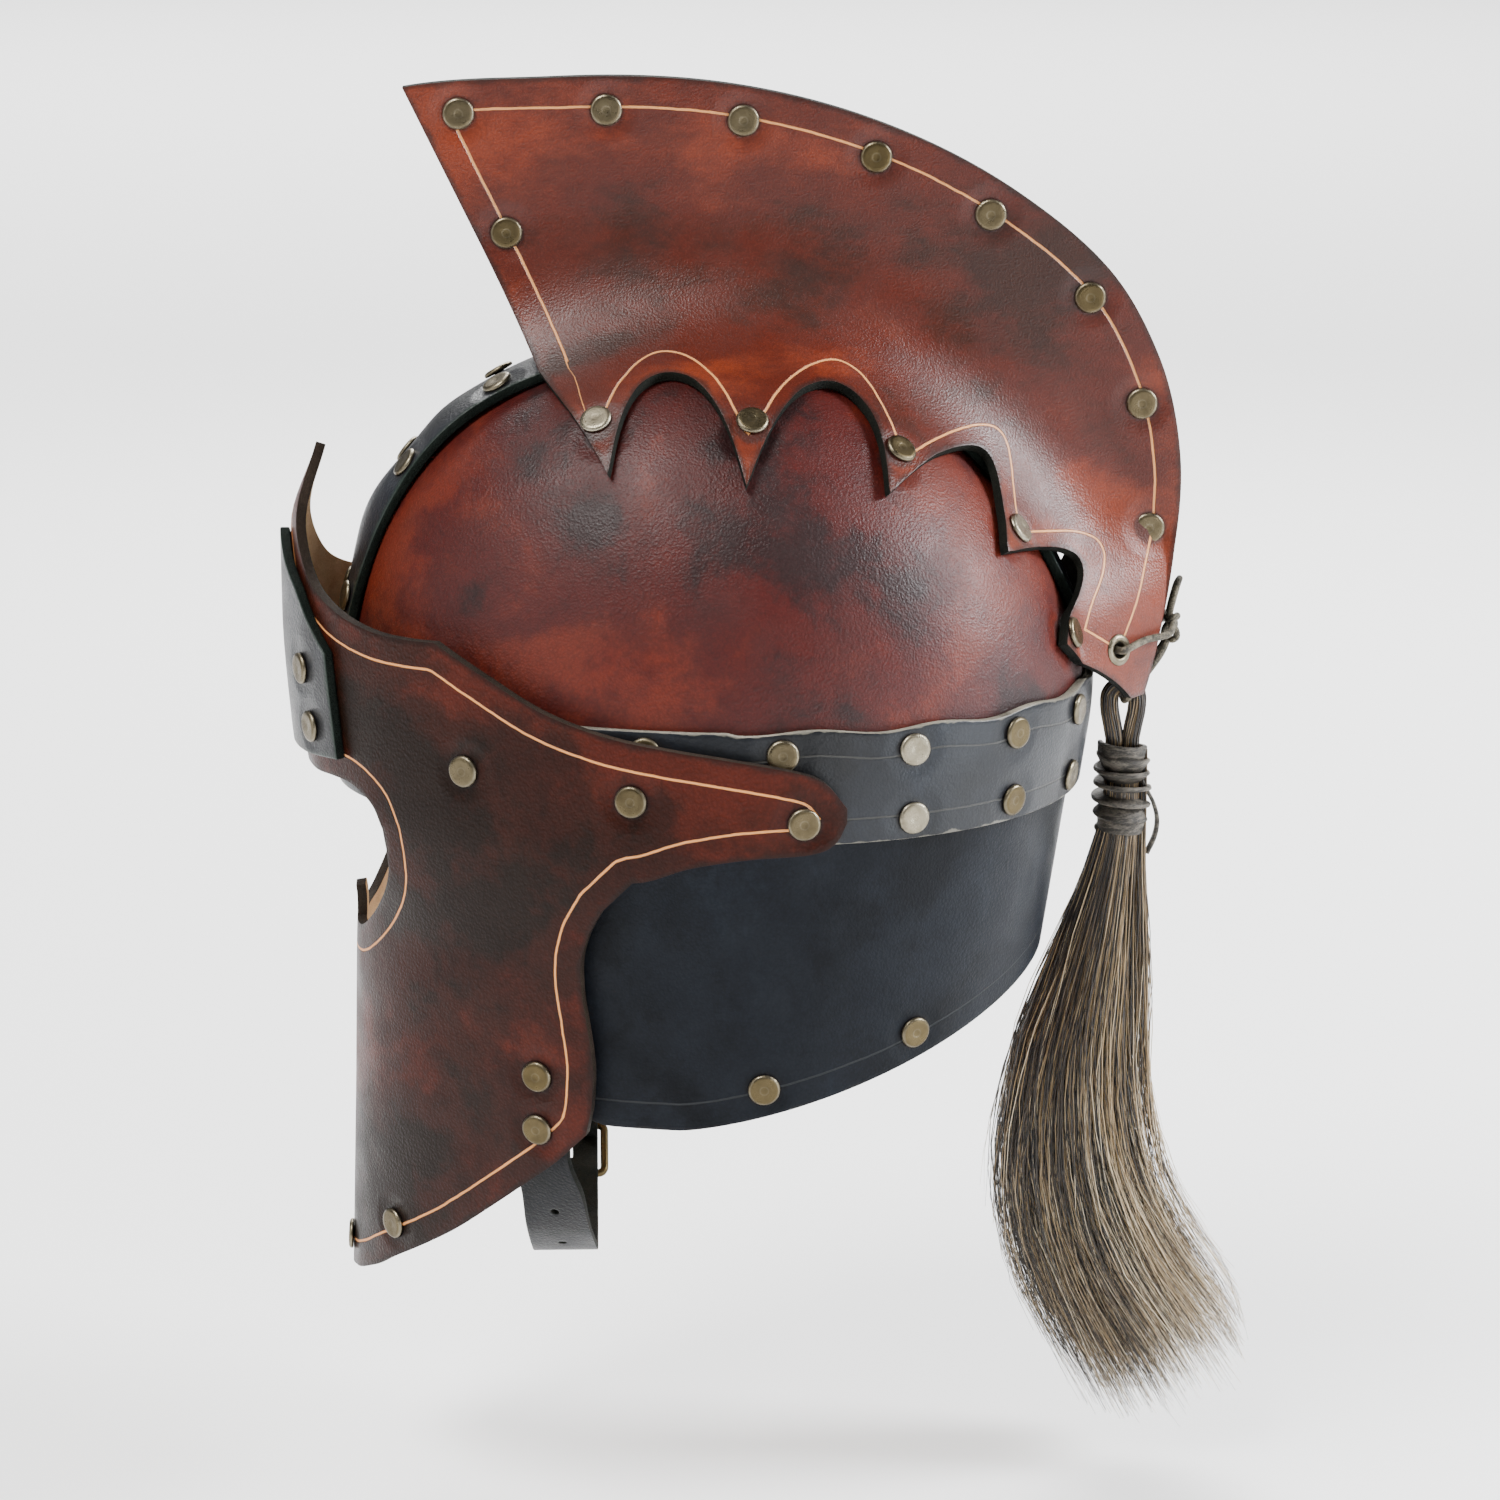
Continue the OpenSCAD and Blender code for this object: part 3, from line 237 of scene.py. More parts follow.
# %% [markdown]
# The strap and the crest run over the crown, where bearings crowd together. They are laid
# out in slices instead: planes that turn about the axis from ear to ear, like the leaves
# of a fan. The form's formula can't be turned round to give the distance from that axis, so
# it is found by halving an interval 24 times, for all points at once.

# %% Slices over the crown
def dome_reach(x, f, off):
    """Distance from the ear axis to the dome in the plane at angle f, 0 nape, 180 brow."""
    x, f, off = np.broadcast_arrays(np.asarray(x, float), f, off)
    low, high = np.zeros(x.shape), np.full(x.shape, 240.0)
    for _ in range(24):
        r = (low + high) / 2
        u, v = x / (half_w + off), r * cos(f) / (half_l + off)
        s = v / np.maximum(np.hypot(u, v), 0.001)
        for _ in range(4):
            s = v / np.maximum(np.hypot(u / widening(s), v), 0.001)
        value = (np.hypot(u / widening(s), v) ** dome_power(s)
                 + (np.maximum(r * sin(f), 0) / (crown_h + off)) ** dome_power(s))
        high, low = np.where(value > 1, r, high), np.where(value > 1, low, r)
    return (low + high) / 2

def fan(x, r, f):
    """Points at x along the ear axis, r away from it, in the plane at angle f."""
    return np.stack([x + 0 * r, r * cos(f), r * sin(f)], -1)

print("the crown is", float(dome_reach(0, 90, 0).round(1)), "mm above the ears")

# %% [markdown]
# ## Laying a sheet
# A real sheet is cut flat, dyed, and pressed over the form. Here a flat grid is laid on
# the form corner by corner, holes are taken out, and the Solidify modifier gives it the
# hide's thickness, with its own finish for the outer face, the inner face and the cut
# edge. Two measures are stored on the grid for the materials: how far each corner is from
# the outline, for the incised lines and burnished edges, and how far from a rivet.

# %% Finished pieces
def finish_object(name, bm, body, nodes, materials):
    """Make a piece of a bmesh, with its body and the CAD nodes it replaces."""
    mesh = bpy.data.meshes.new(name)
    bm.to_mesh(mesh)
    bm.free()
    piece = bpy.data.objects.new(name, mesh)
    bpy.context.scene.collection.objects.link(piece)
    for m in materials:
        mesh.materials.append(m)
    mesh.shade_smooth()
    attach(piece, body)
    if nodes:
        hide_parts(*nodes)
    return piece

def join_in(bm, part):
    """Add the bmesh part to bm, and give back its corners there."""
    spare = bpy.data.meshes.new("spare")
    part.to_mesh(spare)
    part.free()
    first = len(bm.verts)
    bm.from_mesh(spare)
    bpy.data.meshes.remove(spare)
    bm.verts.ensure_lookup_table()
    return bm.verts[first:]

print("piece maker ready")

# %% Sheet maker
def flat_grid(nu, nv):
    bm = bmesh.new()
    bmesh.ops.create_grid(bm, x_segments=nu, y_segments=nv, size=0.5)
    bm.verts.index_update()
    return bm

def lay_hide(bm, place):
    """Lay a flat unit grid on a form, facing outwards, and give back its flat places."""
    flat = np.array([(v.co.x + 0.5, v.co.y + 0.5) for v in bm.verts])
    outer, over = place(flat[:, 0], flat[:, 1], 0.0), place(flat[:, 0], flat[:, 1], 1.0)
    for v, p in zip(bm.verts, outer * MM):
        v.co = p
    bm.normal_update()
    first = [f.verts[0].index for f in bm.faces]
    outwards = zip(bm.faces, over[first] - outer[first])
    if sum(f.normal.dot(Vector(way)) for f, way in outwards) < 0:
        bmesh.ops.reverse_faces(bm, faces=bm.faces)
    return flat

def thicken(piece, thickness, offset=-1.0, edge=0.45):
    """Give a sheet its hide: material 1 is the inner face, 2 the cut and softened edge."""
    solid = piece.modifiers.new("hide_thickness", "SOLIDIFY")
    solid.thickness, solid.offset, solid.use_even_offset = thickness * MM, offset, True
    solid.material_offset, solid.material_offset_rim = 1, 2
    soft = piece.modifiers.new("soft_edge", "BEVEL")
    soft.width, soft.segments, soft.profile = edge * MM, 2, 0.5
    soft.limit_method, soft.angle_limit = "ANGLE", math.radians(50)
    return piece

print("a sheet is", hide_t, "mm thick")

# %% Measures on a sheet
far_off = 50 * MM
rim_fade = 6 * MM

def nearest(points, spots):
    """The distance from each point to the nearest of the spots."""
    tree = kdtree.KDTree(len(spots))
    for k, p in enumerate(spots):
        tree.insert(p, k)
    tree.balance()
    return [tree.find(p)[2] for p in points]

def measure_hide(bm, rivets=()):
    """Store how far each corner is from the outline and from the nearest rivet."""
    rim = bm.verts.layers.float.new("rim")
    cap = bm.verts.layers.float.new("cap")
    outline = [e.verts[0].co.lerp(e.verts[1].co, t / 4)
               for e in bm.edges if e.is_boundary for t in range(4)]
    where = [v.co for v in bm.verts]
    caps = [Vector(p) * MM for p in rivets]
    from_cap = nearest(where, caps) if caps else [far_off] * len(where)
    for v, r, c in zip(bm.verts, nearest(where, outline), from_cap):
        v[rim], v[cap] = r, min(c, far_off)

def stain(bm, spots, near_rim=0.0):
    """Where the dye lies thicker, below 0, or thinner: [y, z, radius, amount] in mm."""
    layer, rim = bm.verts.layers.float.new("stain"), bm.verts.layers.float["rim"]
    where = np.array([v.co[1:] for v in bm.verts]) / MM
    total = sum(amount * np.exp(-((where - [y, z]) ** 2).sum(1) / r**2)
                for y, z, r, amount in spots)
    for v, t in zip(bm.verts, total):
        v[layer] = t + near_rim * math.exp(-v[rim] / rim_fade)

print("measures reach", far_off, "m")

# %% [markdown]
# ## Finishes
# A maker dyes, scribes, burnishes and rivets every sheet in the same way, so the effects of
# that work, with a painted shade round each rivet, are node groups, built once and placed
# in each finish with its own values.
# They give out only colours, masks and heights, and the shader stays in each material, where
# the export can read it. Painted pictures could do the same, but noise has no seams and
# stays sharp in a close view.

# %% Node helpers
def new_group(name, inputs, outputs):
    """A node group, the sockets it reads from and the sockets it gives out on."""
    group = bpy.data.node_groups.new(name, "ShaderNodeTree")
    for label, kind, value in inputs:
        socket = group.interface.new_socket(label, in_out="INPUT", socket_type="NodeSocket" + kind)
        if value is not None:
            socket.default_value = value
    for label, kind in outputs:
        group.interface.new_socket(label, in_out="OUTPUT", socket_type="NodeSocket" + kind)
    reads, gives = group.nodes.new("NodeGroupInput"), group.nodes.new("NodeGroupOutput")
    return group, reads.outputs, gives.inputs

def wire(tree, target, source):
    if isinstance(source, bpy.types.NodeSocket):
        tree.links.new(source, target)
    else:
        target.default_value = source

def calc(tree, kind, a, b=0.0, clamp=False):
    node = tree.nodes.new("ShaderNodeMath")
    node.operation, node.use_clamp = kind, clamp
    wire(tree, node.inputs[0], a)
    wire(tree, node.inputs[1], b)
    return node.outputs[0]

def weigh(tree, *parts):
    """The sum of values that are given as (value, weight)."""
    total = None
    for value, weight in parts:
        part = value if weight == 1 else calc(tree, "MULTIPLY", value, weight)
        total = part if total is None else calc(tree, "ADD", total, part)
    return total

print("group and number helpers ready")

# %% Colour and pattern helpers
def blend_colours(tree, share, a, b):
    node = tree.nodes.new("ShaderNodeMix")
    node.data_type = "RGBA"
    for label, source in (("Factor", share), ("A", a), ("B", b)):
        wire(tree, node.inputs[label], source)
    return node.outputs["Result"]

def between(tree, value, low, high, out_low=0.0, out_high=1.0):
    """A soft step from out_low to out_high, while the value goes from low to high."""
    node = tree.nodes.new("ShaderNodeMapRange")
    node.interpolation_type = "SMOOTHSTEP"
    for label, source in (("Value", value), ("From Min", low), ("From Max", high),
                          ("To Min", out_low), ("To Max", out_high)):
        wire(tree, node.inputs[label], source)
    return node.outputs[0]

def cloud(tree, vector, scale, detail=4.0, rough=0.55, twist=0.0):
    node = tree.nodes.new("ShaderNodeTexNoise")
    for label, source in (("Vector", vector), ("Scale", scale), ("Detail", detail),
                          ("Roughness", rough), ("Distortion", twist)):
        wire(tree, node.inputs[label], source)
    return node.outputs["Fac"]

def stretched(tree, vector, times):
    node = tree.nodes.new("ShaderNodeMapping")
    wire(tree, node.inputs["Vector"], vector)
    wire(tree, node.inputs["Scale"], times)
    return node.outputs["Vector"]

print("node helpers ready")

# %% [markdown]
# Spirit dye is wiped on with a cloth, so it lies in clouds, smears and fine streaks. The
# group adds noise of three sizes and takes dark, middle or light dye by the sum. Noise
# alone would put them anywhere, so a Stain input lets a sheet ask for them at a place.

# %% Dye clouds
dye_group, gi, go = new_group(
    "dye_clouds",
    [("Vector", "Vector", None), ("Scale", "Float", 18.0), ("Stain", "Float", 0.0),
     ("Dark", "Color", (0, 0, 0, 1)), ("Mid", "Color", (0.1, 0.1, 0.1, 1)),
     ("Light", "Color", (0.3, 0.3, 0.3, 1))],
    [("Color", "Color")])
smear_scale = calc(dye_group, "MULTIPLY", gi["Scale"], 4.3)
streak_scale = calc(dye_group, "MULTIPLY", gi["Scale"], 30.0)
drift = cloud(dye_group, gi["Vector"], gi["Scale"], 3.0, 0.5, 0.6)
smears = cloud(dye_group, gi["Vector"], smear_scale, 6.0, 0.62, 0.3)
streaks = cloud(dye_group, gi["Vector"], streak_scale, 3.0, 0.6)
dye = weigh(dye_group, (drift, 0.62), (smears, 0.3), (streaks, 0.08), (gi["Stain"], 1))
tone = blend_colours(dye_group, between(dye_group, dye, 0.40, 0.50), gi["Dark"], gi["Mid"])
tone = blend_colours(dye_group, between(dye_group, dye, 0.50, 0.62), tone, gi["Light"])
wire(dye_group, go["Color"], tone)
print(dye_group.name, "has", len(dye_group.nodes), "nodes")

# %% [markdown]
# Under a low light, hide shows small soft pebbles with finer pores between them. Real
# relief would need millions of faces, so this is a height for the bump: soft cells, which
# noise bends so that they don't look like a net, with pores and slow waves.

# %% Grain
grain_group, gi, go = new_group(
    "hide_grain", [("Vector", "Vector", None), ("Pores", "Float", 900.0)],
    [("Height", "Float"), ("Sheen", "Float")])
cells = grain_group.nodes.new("ShaderNodeTexVoronoi")
cells.feature = "SMOOTH_F1"
cells.inputs["Smoothness"].default_value = 0.6
warp = grain_group.nodes.new("ShaderNodeTexNoise")
wire(grain_group, warp.inputs["Vector"], gi["Vector"])
warp.inputs["Scale"].default_value = 260
bent = grain_group.nodes.new("ShaderNodeVectorMath")
bent.operation = "MULTIPLY_ADD"
wire(grain_group, bent.inputs[0], warp.outputs["Color"])
bent.inputs[1].default_value = (0.0011, 0.0011, 0.0011)
wire(grain_group, bent.inputs[2], gi["Vector"])
wire(grain_group, cells.inputs["Vector"], bent.outputs[0])
wire(grain_group, cells.inputs["Scale"], gi["Pores"])
pore_scale = calc(grain_group, "MULTIPLY", gi["Pores"], 1.7)
pores = cloud(grain_group, gi["Vector"], pore_scale, 3.0, 0.6)
waves = cloud(grain_group, gi["Vector"], 70.0, 2.0, 0.5)
pebbles = cells.outputs["Distance"]
wire(grain_group, go["Height"], weigh(grain_group, (pebbles, 0.6), (pores, 0.5), (waves, 0.6)))
wire(grain_group, go["Sheen"], calc(grain_group, "ADD", pores, waves))
print(grain_group.name, "has", len(grain_group.nodes), "nodes")

# %% [markdown]
# Three marks follow the measures stored on a sheet. A scribed line is cut at a set distance
# from a guide, and shakes a little. A cut edge is rubbed until the dye by it darkens or wears
# off, in a ragged band. A rivet presses a dent into the hide, and the dark ring round its cap
# is painted shade, where the cap's edge and the dent would shade the leather. Cut grooves and
# dents could be modelled, but they are finer than the grid of a sheet.

# %% Marks of the hand, and painted shade at rivets
line_group, gi, go = new_group(
    "incised_line", [("Vector", "Vector", None), ("Distance", "Float", 1.0),
                     ("At", "Float", 0.008), ("Width", "Float", 0.001)], [("Mask", "Float")])
unsteady = calc(line_group, "SUBTRACT", cloud(line_group, gi["Vector"], 160.0, 2.0), 0.5)
there = weigh(line_group, (gi["Distance"], 1), (unsteady, 0.0005))
apart = calc(line_group, "ABSOLUTE", calc(line_group, "SUBTRACT", there, gi["At"]))
inner = calc(line_group, "MULTIPLY", gi["Width"], 0.35)
outer = calc(line_group, "MULTIPLY", gi["Width"], 0.65)
wire(line_group, go["Mask"], between(line_group, apart, inner, outer, 1.0, 0.0))

edge_group, gi, go = new_group(
    "burnished_edge", [("Vector", "Vector", None), ("Distance", "Float", 1.0),
                       ("Reach", "Float", 0.003)], [("Mask", "Float")])
ragged = calc(edge_group, "MULTIPLY", cloud(edge_group, gi["Vector"], 120.0, 4.0), 0.004)
there = calc(edge_group, "SUBTRACT", calc(edge_group, "ADD", gi["Distance"], 0.002), ragged)
wire(edge_group, go["Mask"], between(edge_group, there, 0.0, gi["Reach"], 1.0, 0.0))

dent_and_shade_group, gi, go = new_group("rivet_dent_and_shade", [("Distance", "Float", 0.05)],
                                [("Painted_shade", "Float"), ("Dent", "Float")])
from_cap = gi["Distance"]
# painted shade: a dark ring just outside each rivet cap's edge, where cap and dent would shade the
# hide
wire(dent_and_shade_group, go["Painted_shade"], between(dent_and_shade_group, from_cap, 0.0046, 0.0062, 1.0, 0.0))
wire(dent_and_shade_group, go["Dent"], between(dent_and_shade_group, from_cap, 0.0045, 0.0105, 0.0, 1.0))
print("effect groups:", [g.name for g in bpy.data.node_groups])

# %% [markdown]
# A finish starts as a Principled shader with Object coordinates, which keep a pattern on
# the piece in every pose. It places the groups, and reads a sheet's stored measures.

# %% Finish helpers
def new_finish(name):
    material = bpy.data.materials.new(name)
    material.use_nodes = True
    tree = material.node_tree
    shader = tree.nodes["Principled BSDF"]
    place = tree.nodes.new("ShaderNodeTexCoord").outputs["Object"]
    return material, tree, shader, place

def use(tree, group, **values):
    node = tree.nodes.new("ShaderNodeGroup")
    node.node_tree = group
    for label, value in values.items():
        wire(tree, node.inputs[label], value)
    return node.outputs

def measure(tree, name):
    node = tree.nodes.new("ShaderNodeAttribute")
    node.attribute_name = name
    return node.outputs["Fac"]

def bump(tree, shader, height, distance):
    node = tree.nodes.new("ShaderNodeBump")
    node.inputs["Distance"].default_value = distance
    wire(tree, node.inputs["Height"], height)
    wire(tree, shader.inputs["Normal"], node.outputs["Normal"])

def rgb(r, g, b):
    return (r, g, b, 1.0)

print("finish helpers ready")

# %% [markdown]
# The outer face of a sheet is dyed grain leather. Its finish puts the groups together: first
# dye, then dark pores, a worn or darkened edge, a ring of painted shade round each rivet, and
# the scribed lines on top, because they are cut last and show the bare hide. The gloss varies
# with the grain. All sheets share one recipe, and each gets its own colours and sizes.

# %% Dyed hide
def dyed_hide(name, dark, mid, light, clouds=18.0, pores=900.0, gloss=0.36, shine=0.22,
              grain=0.00022, lines=(), line=rgb(0.72, 0.42, 0.2), line_width=0.0009,
              edge=rgb(0.010, 0.006, 0.005), reach=0.0022, guide="rim", stretch=(1, 1, 1)):
    """Leather with its dyes, its gloss, and lines cut at set distances from a guide."""
    material, tree, shader, place = new_finish(name)
    dye = use(tree, dye_group, Vector=stretched(tree, place, stretch), Scale=clouds,
              Stain=measure(tree, "stain"), Dark=dark, Mid=mid, Light=light)
    hide = use(tree, grain_group, Vector=place, Pores=pores)
    dent_and_shade = use(tree, dent_and_shade_group, Distance=measure(tree, "cap"))
    worn = use(tree, edge_group, Vector=place, Distance=measure(tree, "rim"), Reach=reach)
    height = weigh(tree, (hide["Height"], 1), (dent_and_shade["Dent"], 4.0))
    masks = [(between(tree, hide["Height"], 0.45, 1.15, 0.0, 0.35), rgb(0, 0, 0)),
             (calc(tree, "MULTIPLY", worn["Mask"], 0.7), edge),
             # painted shade: the ring round each rivet cap darkens the dye
             (calc(tree, "MULTIPLY", dent_and_shade["Painted_shade"], 0.65), rgb(0.01, 0.008, 0.008))]
    for at_distance in lines:
        cut = use(tree, line_group, Vector=place, Distance=measure(tree, guide),
                  At=at_distance, Width=line_width)
        masks.append((cut["Mask"], line))
        height = weigh(tree, (height, 1), (cut["Mask"], -2.2))
    colour = dye["Color"]
    for mask, over in masks:
        colour = blend_colours(tree, mask, colour, over)
    wire(tree, shader.inputs["Base Color"], colour)
    roughness = between(tree, hide["Sheen"], 0.6, 1.4, gloss - 0.05, gloss + 0.12)
    wire(tree, shader.inputs["Roughness"], roughness)
    shader.inputs["Specular IOR Level"].default_value = shine
    bump(tree, shader, height, grain)
    return material

print("recipe for dyed hide ready")

# %% [markdown]
# The inner face is the flesh side and the cut edge is suede: both are bare fibre, rough
# and without gloss. They share the dye group, but a fuzz of fine fibres takes the place of
# the grain.

# %% Bare hide
def bare_hide(name, dark, light, fuzz=0.00035):
    material, tree, shader, place = new_finish(name)
    mid = tuple((p + q) / 2 for p, q in zip(dark, light))
    dye = use(tree, dye_group, Vector=place, Scale=26.0, Dark=dark, Mid=mid, Light=light)
    fibres = cloud(tree, place, 2300.0, 4.0, 0.7)
    pits = rgb(*(c * 0.55 for c in dark[:3]))
    colour = blend_colours(tree, between(tree, fibres, 0.3, 0.7, 0.0, 0.4), dye["Color"], pits)
    wire(tree, shader.inputs["Base Color"], colour)
    wire(tree, shader.inputs["Roughness"], between(tree, fibres, 0.3, 0.7, 0.72, 0.92))
    shader.inputs["Specular IOR Level"].default_value = 0.12
    bump(tree, shader, calc(tree, "ADD", fibres, cloud(tree, place, 420.0, 3.0)), fuzz)
    return material

print("recipe for bare hide ready")

# %% [markdown]
# The helmet's leathers are mahogany on the skull, blue-black on the band, strap and neck
# guard, dark red-brown with a tan line on the mask, and the brightest red-brown on the
# crest. Colours and gloss were set against the photograph, one sheet at a time.

# %% Leather finishes
skull_hide = dyed_hide(
    "skull_hide", rgb(0.018, 0.004, 0.004), rgb(0.058, 0.006, 0.0045), rgb(0.12, 0.015, 0.006),
    clouds=15.0, pores=1250.0, gloss=0.42, grain=0.00020, reach=0.0015, shine=0.3)
black_hide = dyed_hide(
    "black_hide", rgb(0.003, 0.004, 0.006), rgb(0.006, 0.008, 0.012), rgb(0.011, 0.015, 0.023),
    clouds=12.0, pores=1100.0, gloss=0.34, shine=0.3, grain=0.00012, lines=(0.0073, 0.0235),
    line=rgb(0.03, 0.03, 0.028), line_width=0.0006, edge=rgb(0.16, 0.15, 0.12), reach=0.0005)
neck_hide = dyed_hide(
    "neck_hide", rgb(0.003, 0.004, 0.006), rgb(0.007, 0.009, 0.013), rgb(0.012, 0.016, 0.023),
    clouds=12.0, pores=1100.0, gloss=0.42, shine=0.1, grain=0.00014, lines=(0.0085,),
    line=rgb(0.022, 0.024, 0.026), line_width=0.0006, edge=rgb(0.014, 0.014, 0.014),
    reach=0.0006)
mask_hide = dyed_hide(
    "mask_hide", rgb(0.010, 0.004, 0.002), rgb(0.027, 0.006, 0.003), rgb(0.072, 0.011, 0.005),
    clouds=17.0, pores=1000.0, gloss=0.38, shine=0.12, grain=0.00020, lines=(0.008,),
    line=rgb(0.66, 0.28, 0.10), line_width=0.0008)
crest_hide = dyed_hide(
    "crest_hide", rgb(0.030, 0.007, 0.003), rgb(0.076, 0.010, 0.004), rgb(0.172, 0.026, 0.008),
    clouds=11.0, pores=1500.0, gloss=0.35, shine=0.34, grain=0.00015, lines=(0.0,),
    line=rgb(0.58, 0.25, 0.09), line_width=0.0008, guide="drawn", stretch=(1, 0.6, 1.15))
plate_hide = dyed_hide(
    "plate_hide", rgb(0.003, 0.004, 0.006), rgb(0.006, 0.007, 0.010), rgb(0.012, 0.014, 0.020),
    clouds=20.0, pores=1000.0, gloss=0.36, edge=rgb(0.014, 0.026, 0.018), shine=0.35)
strap_hide = dyed_hide(
    "strap_hide", rgb(0.003, 0.004, 0.005), rgb(0.006, 0.007, 0.009), rgb(0.012, 0.014, 0.017),
    clouds=30.0, pores=1000.0, gloss=0.4, edge=rgb(0.014, 0.014, 0.014), reach=0.001,
    shine=0.12)
tan_flesh = bare_hide("tan_flesh_side", rgb(0.50, 0.29, 0.14), rgb(0.80, 0.55, 0.31))
dark_flesh = bare_hide("dark_flesh_side", rgb(0.004, 0.005, 0.004), rgb(0.014, 0.015, 0.011))
green_suede = bare_hide("green_suede_edge", rgb(0.003, 0.006, 0.0045),
                        rgb(0.010, 0.016, 0.012), fuzz=0.0007)
brown_edge = bare_hide("burnished_edge_face", rgb(0.012, 0.008, 0.006), rgb(0.040, 0.028, 0.020))
pale_edge = bare_hide("pale_edge_face", rgb(0.10, 0.09, 0.07), rgb(0.34, 0.31, 0.25))
print("leather finishes made")

# %% [markdown]
# ## Brass
# The rivet caps are brass that has gone brown, and a few are rubbed bright towards nickel.
# A cap picks its tone from a value stored on its corners, so one finish serves all of
# them, patina darkens it in patches, and fine scratches turn the gloss.

# %% Metal finish
def aged_brass(name):
    material, tree, shader, place = new_finish(name)
    patina = cloud(tree, place, 260.0, 5.0, 0.55, 0.4)
    scratch = cloud(tree, place, 2600.0, 2.0, 0.5)
    both = calc(tree, "ADD", patina, scratch)
    bare = rgb(0.080, 0.060, 0.028)
    metal = blend_colours(tree, measure(tree, "tint"), bare, rgb(0.32, 0.29, 0.22))
    brown = between(tree, patina, 0.42, 0.72, 0.0, 0.4)
    metal = blend_colours(tree, brown, metal, rgb(0.05, 0.038, 0.020))
    wire(tree, shader.inputs["Base Color"], metal)
    wire(tree, shader.inputs["Roughness"], between(tree, both, 0.7, 1.3, 0.26, 0.5))
    shader.inputs["Metallic"].default_value = 1.0
    bump(tree, shader, both, 0.00006)
    return material

brass = aged_brass("aged_brass")
print("metal finish:", brass.name)

# %% [markdown]
# ## Skull panels
# The skull is two quarter shells that meet under the centre strap. A maker wets the leather
# and forms it over a block. A sphere could be cut and scaled, but it wouldn't follow the
# head form. So a grid is laid on the dome from the band to the crown, where its last row
# closes in the pole, and the pole's doubles are merged.

# %% Places on the skull
band_angles = [-62, -11.5, 8, 28, 48, 68]
band_row = 10.2
point_rivets = [[110, 47], [85, 54], [60, 47], [36, 34], [17, 32]]
panel_rivets = []
for f, x in point_rivets:
    p = fan(np.array([x]), dome_reach([x], f, 0), np.array([f]))[0]
    panel_rivets += [p, p * other_side]
skull_stains = [[-32, 70, 14, -0.05], [-68, 47, 14, -0.05], [-5, 42, 16, -0.04],
                [25, 54, 20, -0.03], [-95, 50, 10, 0.06], [-45, 27, 20, 0.04],
                [78, 58, 18, 0.05], [0, 96, 20, -0.04]]
print("rivets through the crest's points:", len(panel_rivets))

# %% Skull panels
foot_rows, foot_rise = 0.12, 9

def panel_low_edge(a):
    """The panels end low at the temples, under the mask, and just inside the band behind."""
    return np.where(a < -27, -14.0, 2.0)

def panel_place(u, v, off, side):
    """Up to foot_rows the grid is straight, then it goes up in even steps of angle."""
    a = -90 + 180 * u
    foot = mix(panel_low_edge(a), crown_h * sin(foot_rise), v / foot_rows)
    up = foot_rise + (90 - foot_rise) * (v - foot_rows) / (1 - foot_rows)
    z = np.where(v < foot_rows, foot, crown_h * sin(up))
    p = head_point(a, z * (crown_h + off) / crown_h, off)
    p[:, 0] = side * (np.maximum(p[:, 0], 0) + 0.2)
    return p

def skull_panel(side, name):
    bm = flat_grid(88, 56)
    lay_hide(bm, lambda u, v, off: panel_place(u, v, off, side))
    bmesh.ops.remove_doubles(bm, verts=bm.verts, dist=1e-5)
    measure_hide(bm, [p for p in panel_rivets if p[0] * side > 0])
    stain(bm, skull_stains)
    panel = finish_object(name + "_hide", bm, "helmet", [name],
                          [skull_hide, tan_flesh, brown_edge])
    return thicken(panel, hide_t)

for side, name in ((1, "skull_panel_left"), (-1, "skull_panel_right")):
    print(name, len(skull_panel(side, name).data.polygons), "faces")

# %% [markdown]
# ## Centre strap
# A thick strap runs from the brow over the crown to the nape and covers the panels' seam.
# Its lower face and its edges are dark suede. It is a flat strip bent round the form, and
# between its rivets it bulges a little, as damp leather does when it dries, so the strip is
# lifted there instead of being a plain band.

# %% Centre strap
strap_foot = math.degrees(math.asin((band_h / 2 + 1.5) / half_l))
strap_rivet_angles = [160, 139, 122, 13]
strap_rivet_x = 11.5

def strap_place(u, v, off):
    x, f = (u - 0.5) * strap_w, mix(180 - strap_foot, strap_foot, v)
    bulge = 2.2 * np.exp(-((f - 147) / 7) ** 2) + 1.2 * np.exp(-((f - 131) / 5) ** 2)
    from_middle = np.abs(2 * u - 1)
    lift = 0.5 * from_middle**2 * (1 + sin(f * 9)) + bulge * (1 - from_middle**2)
    return fan(x, dome_reach(x, f, crown_gap + strap_t - 0.5 + lift + off), f)

def spots_on(place, pairs):
    """The places of the pairs on a form, on both sides of the helmet."""
    spots = []
    for u, v in pairs:
        p = place(np.array([u]), np.array([v]), 0.0)[0]
        spots += [p, p * other_side]
    return spots

bm = flat_grid(14, 130)
lay_hide(bm, strap_place)
rivet_rows = [(180 - strap_foot - f) / (180 - 2 * strap_foot) for f in strap_rivet_angles]
measure_hide(bm, spots_on(strap_place, [(0.5 + strap_rivet_x / strap_w, v) for v in rivet_rows]))
strap = finish_object("centre_strap", bm, "helmet", ["skull_strap"],
                      [plate_hide, dark_flesh, green_suede])
thicken(strap, strap_t, edge=0.6)
print("centre strap", len(strap.data.polygons), "faces")

# %% [markdown]
# ## Head band
# The band is a strip riveted to a ring, blue-black, with a scribed line by each edge and a
# cut edge that has worn pale. A tube would do for a plain ring. The grid wound round the
# head form also follows its drawn-in nape, and its upper edge can rise a little between the
# rivets behind the ears. The ends meet and are merged.

# %% Head band
band_low_angles = [28, 48, 68]

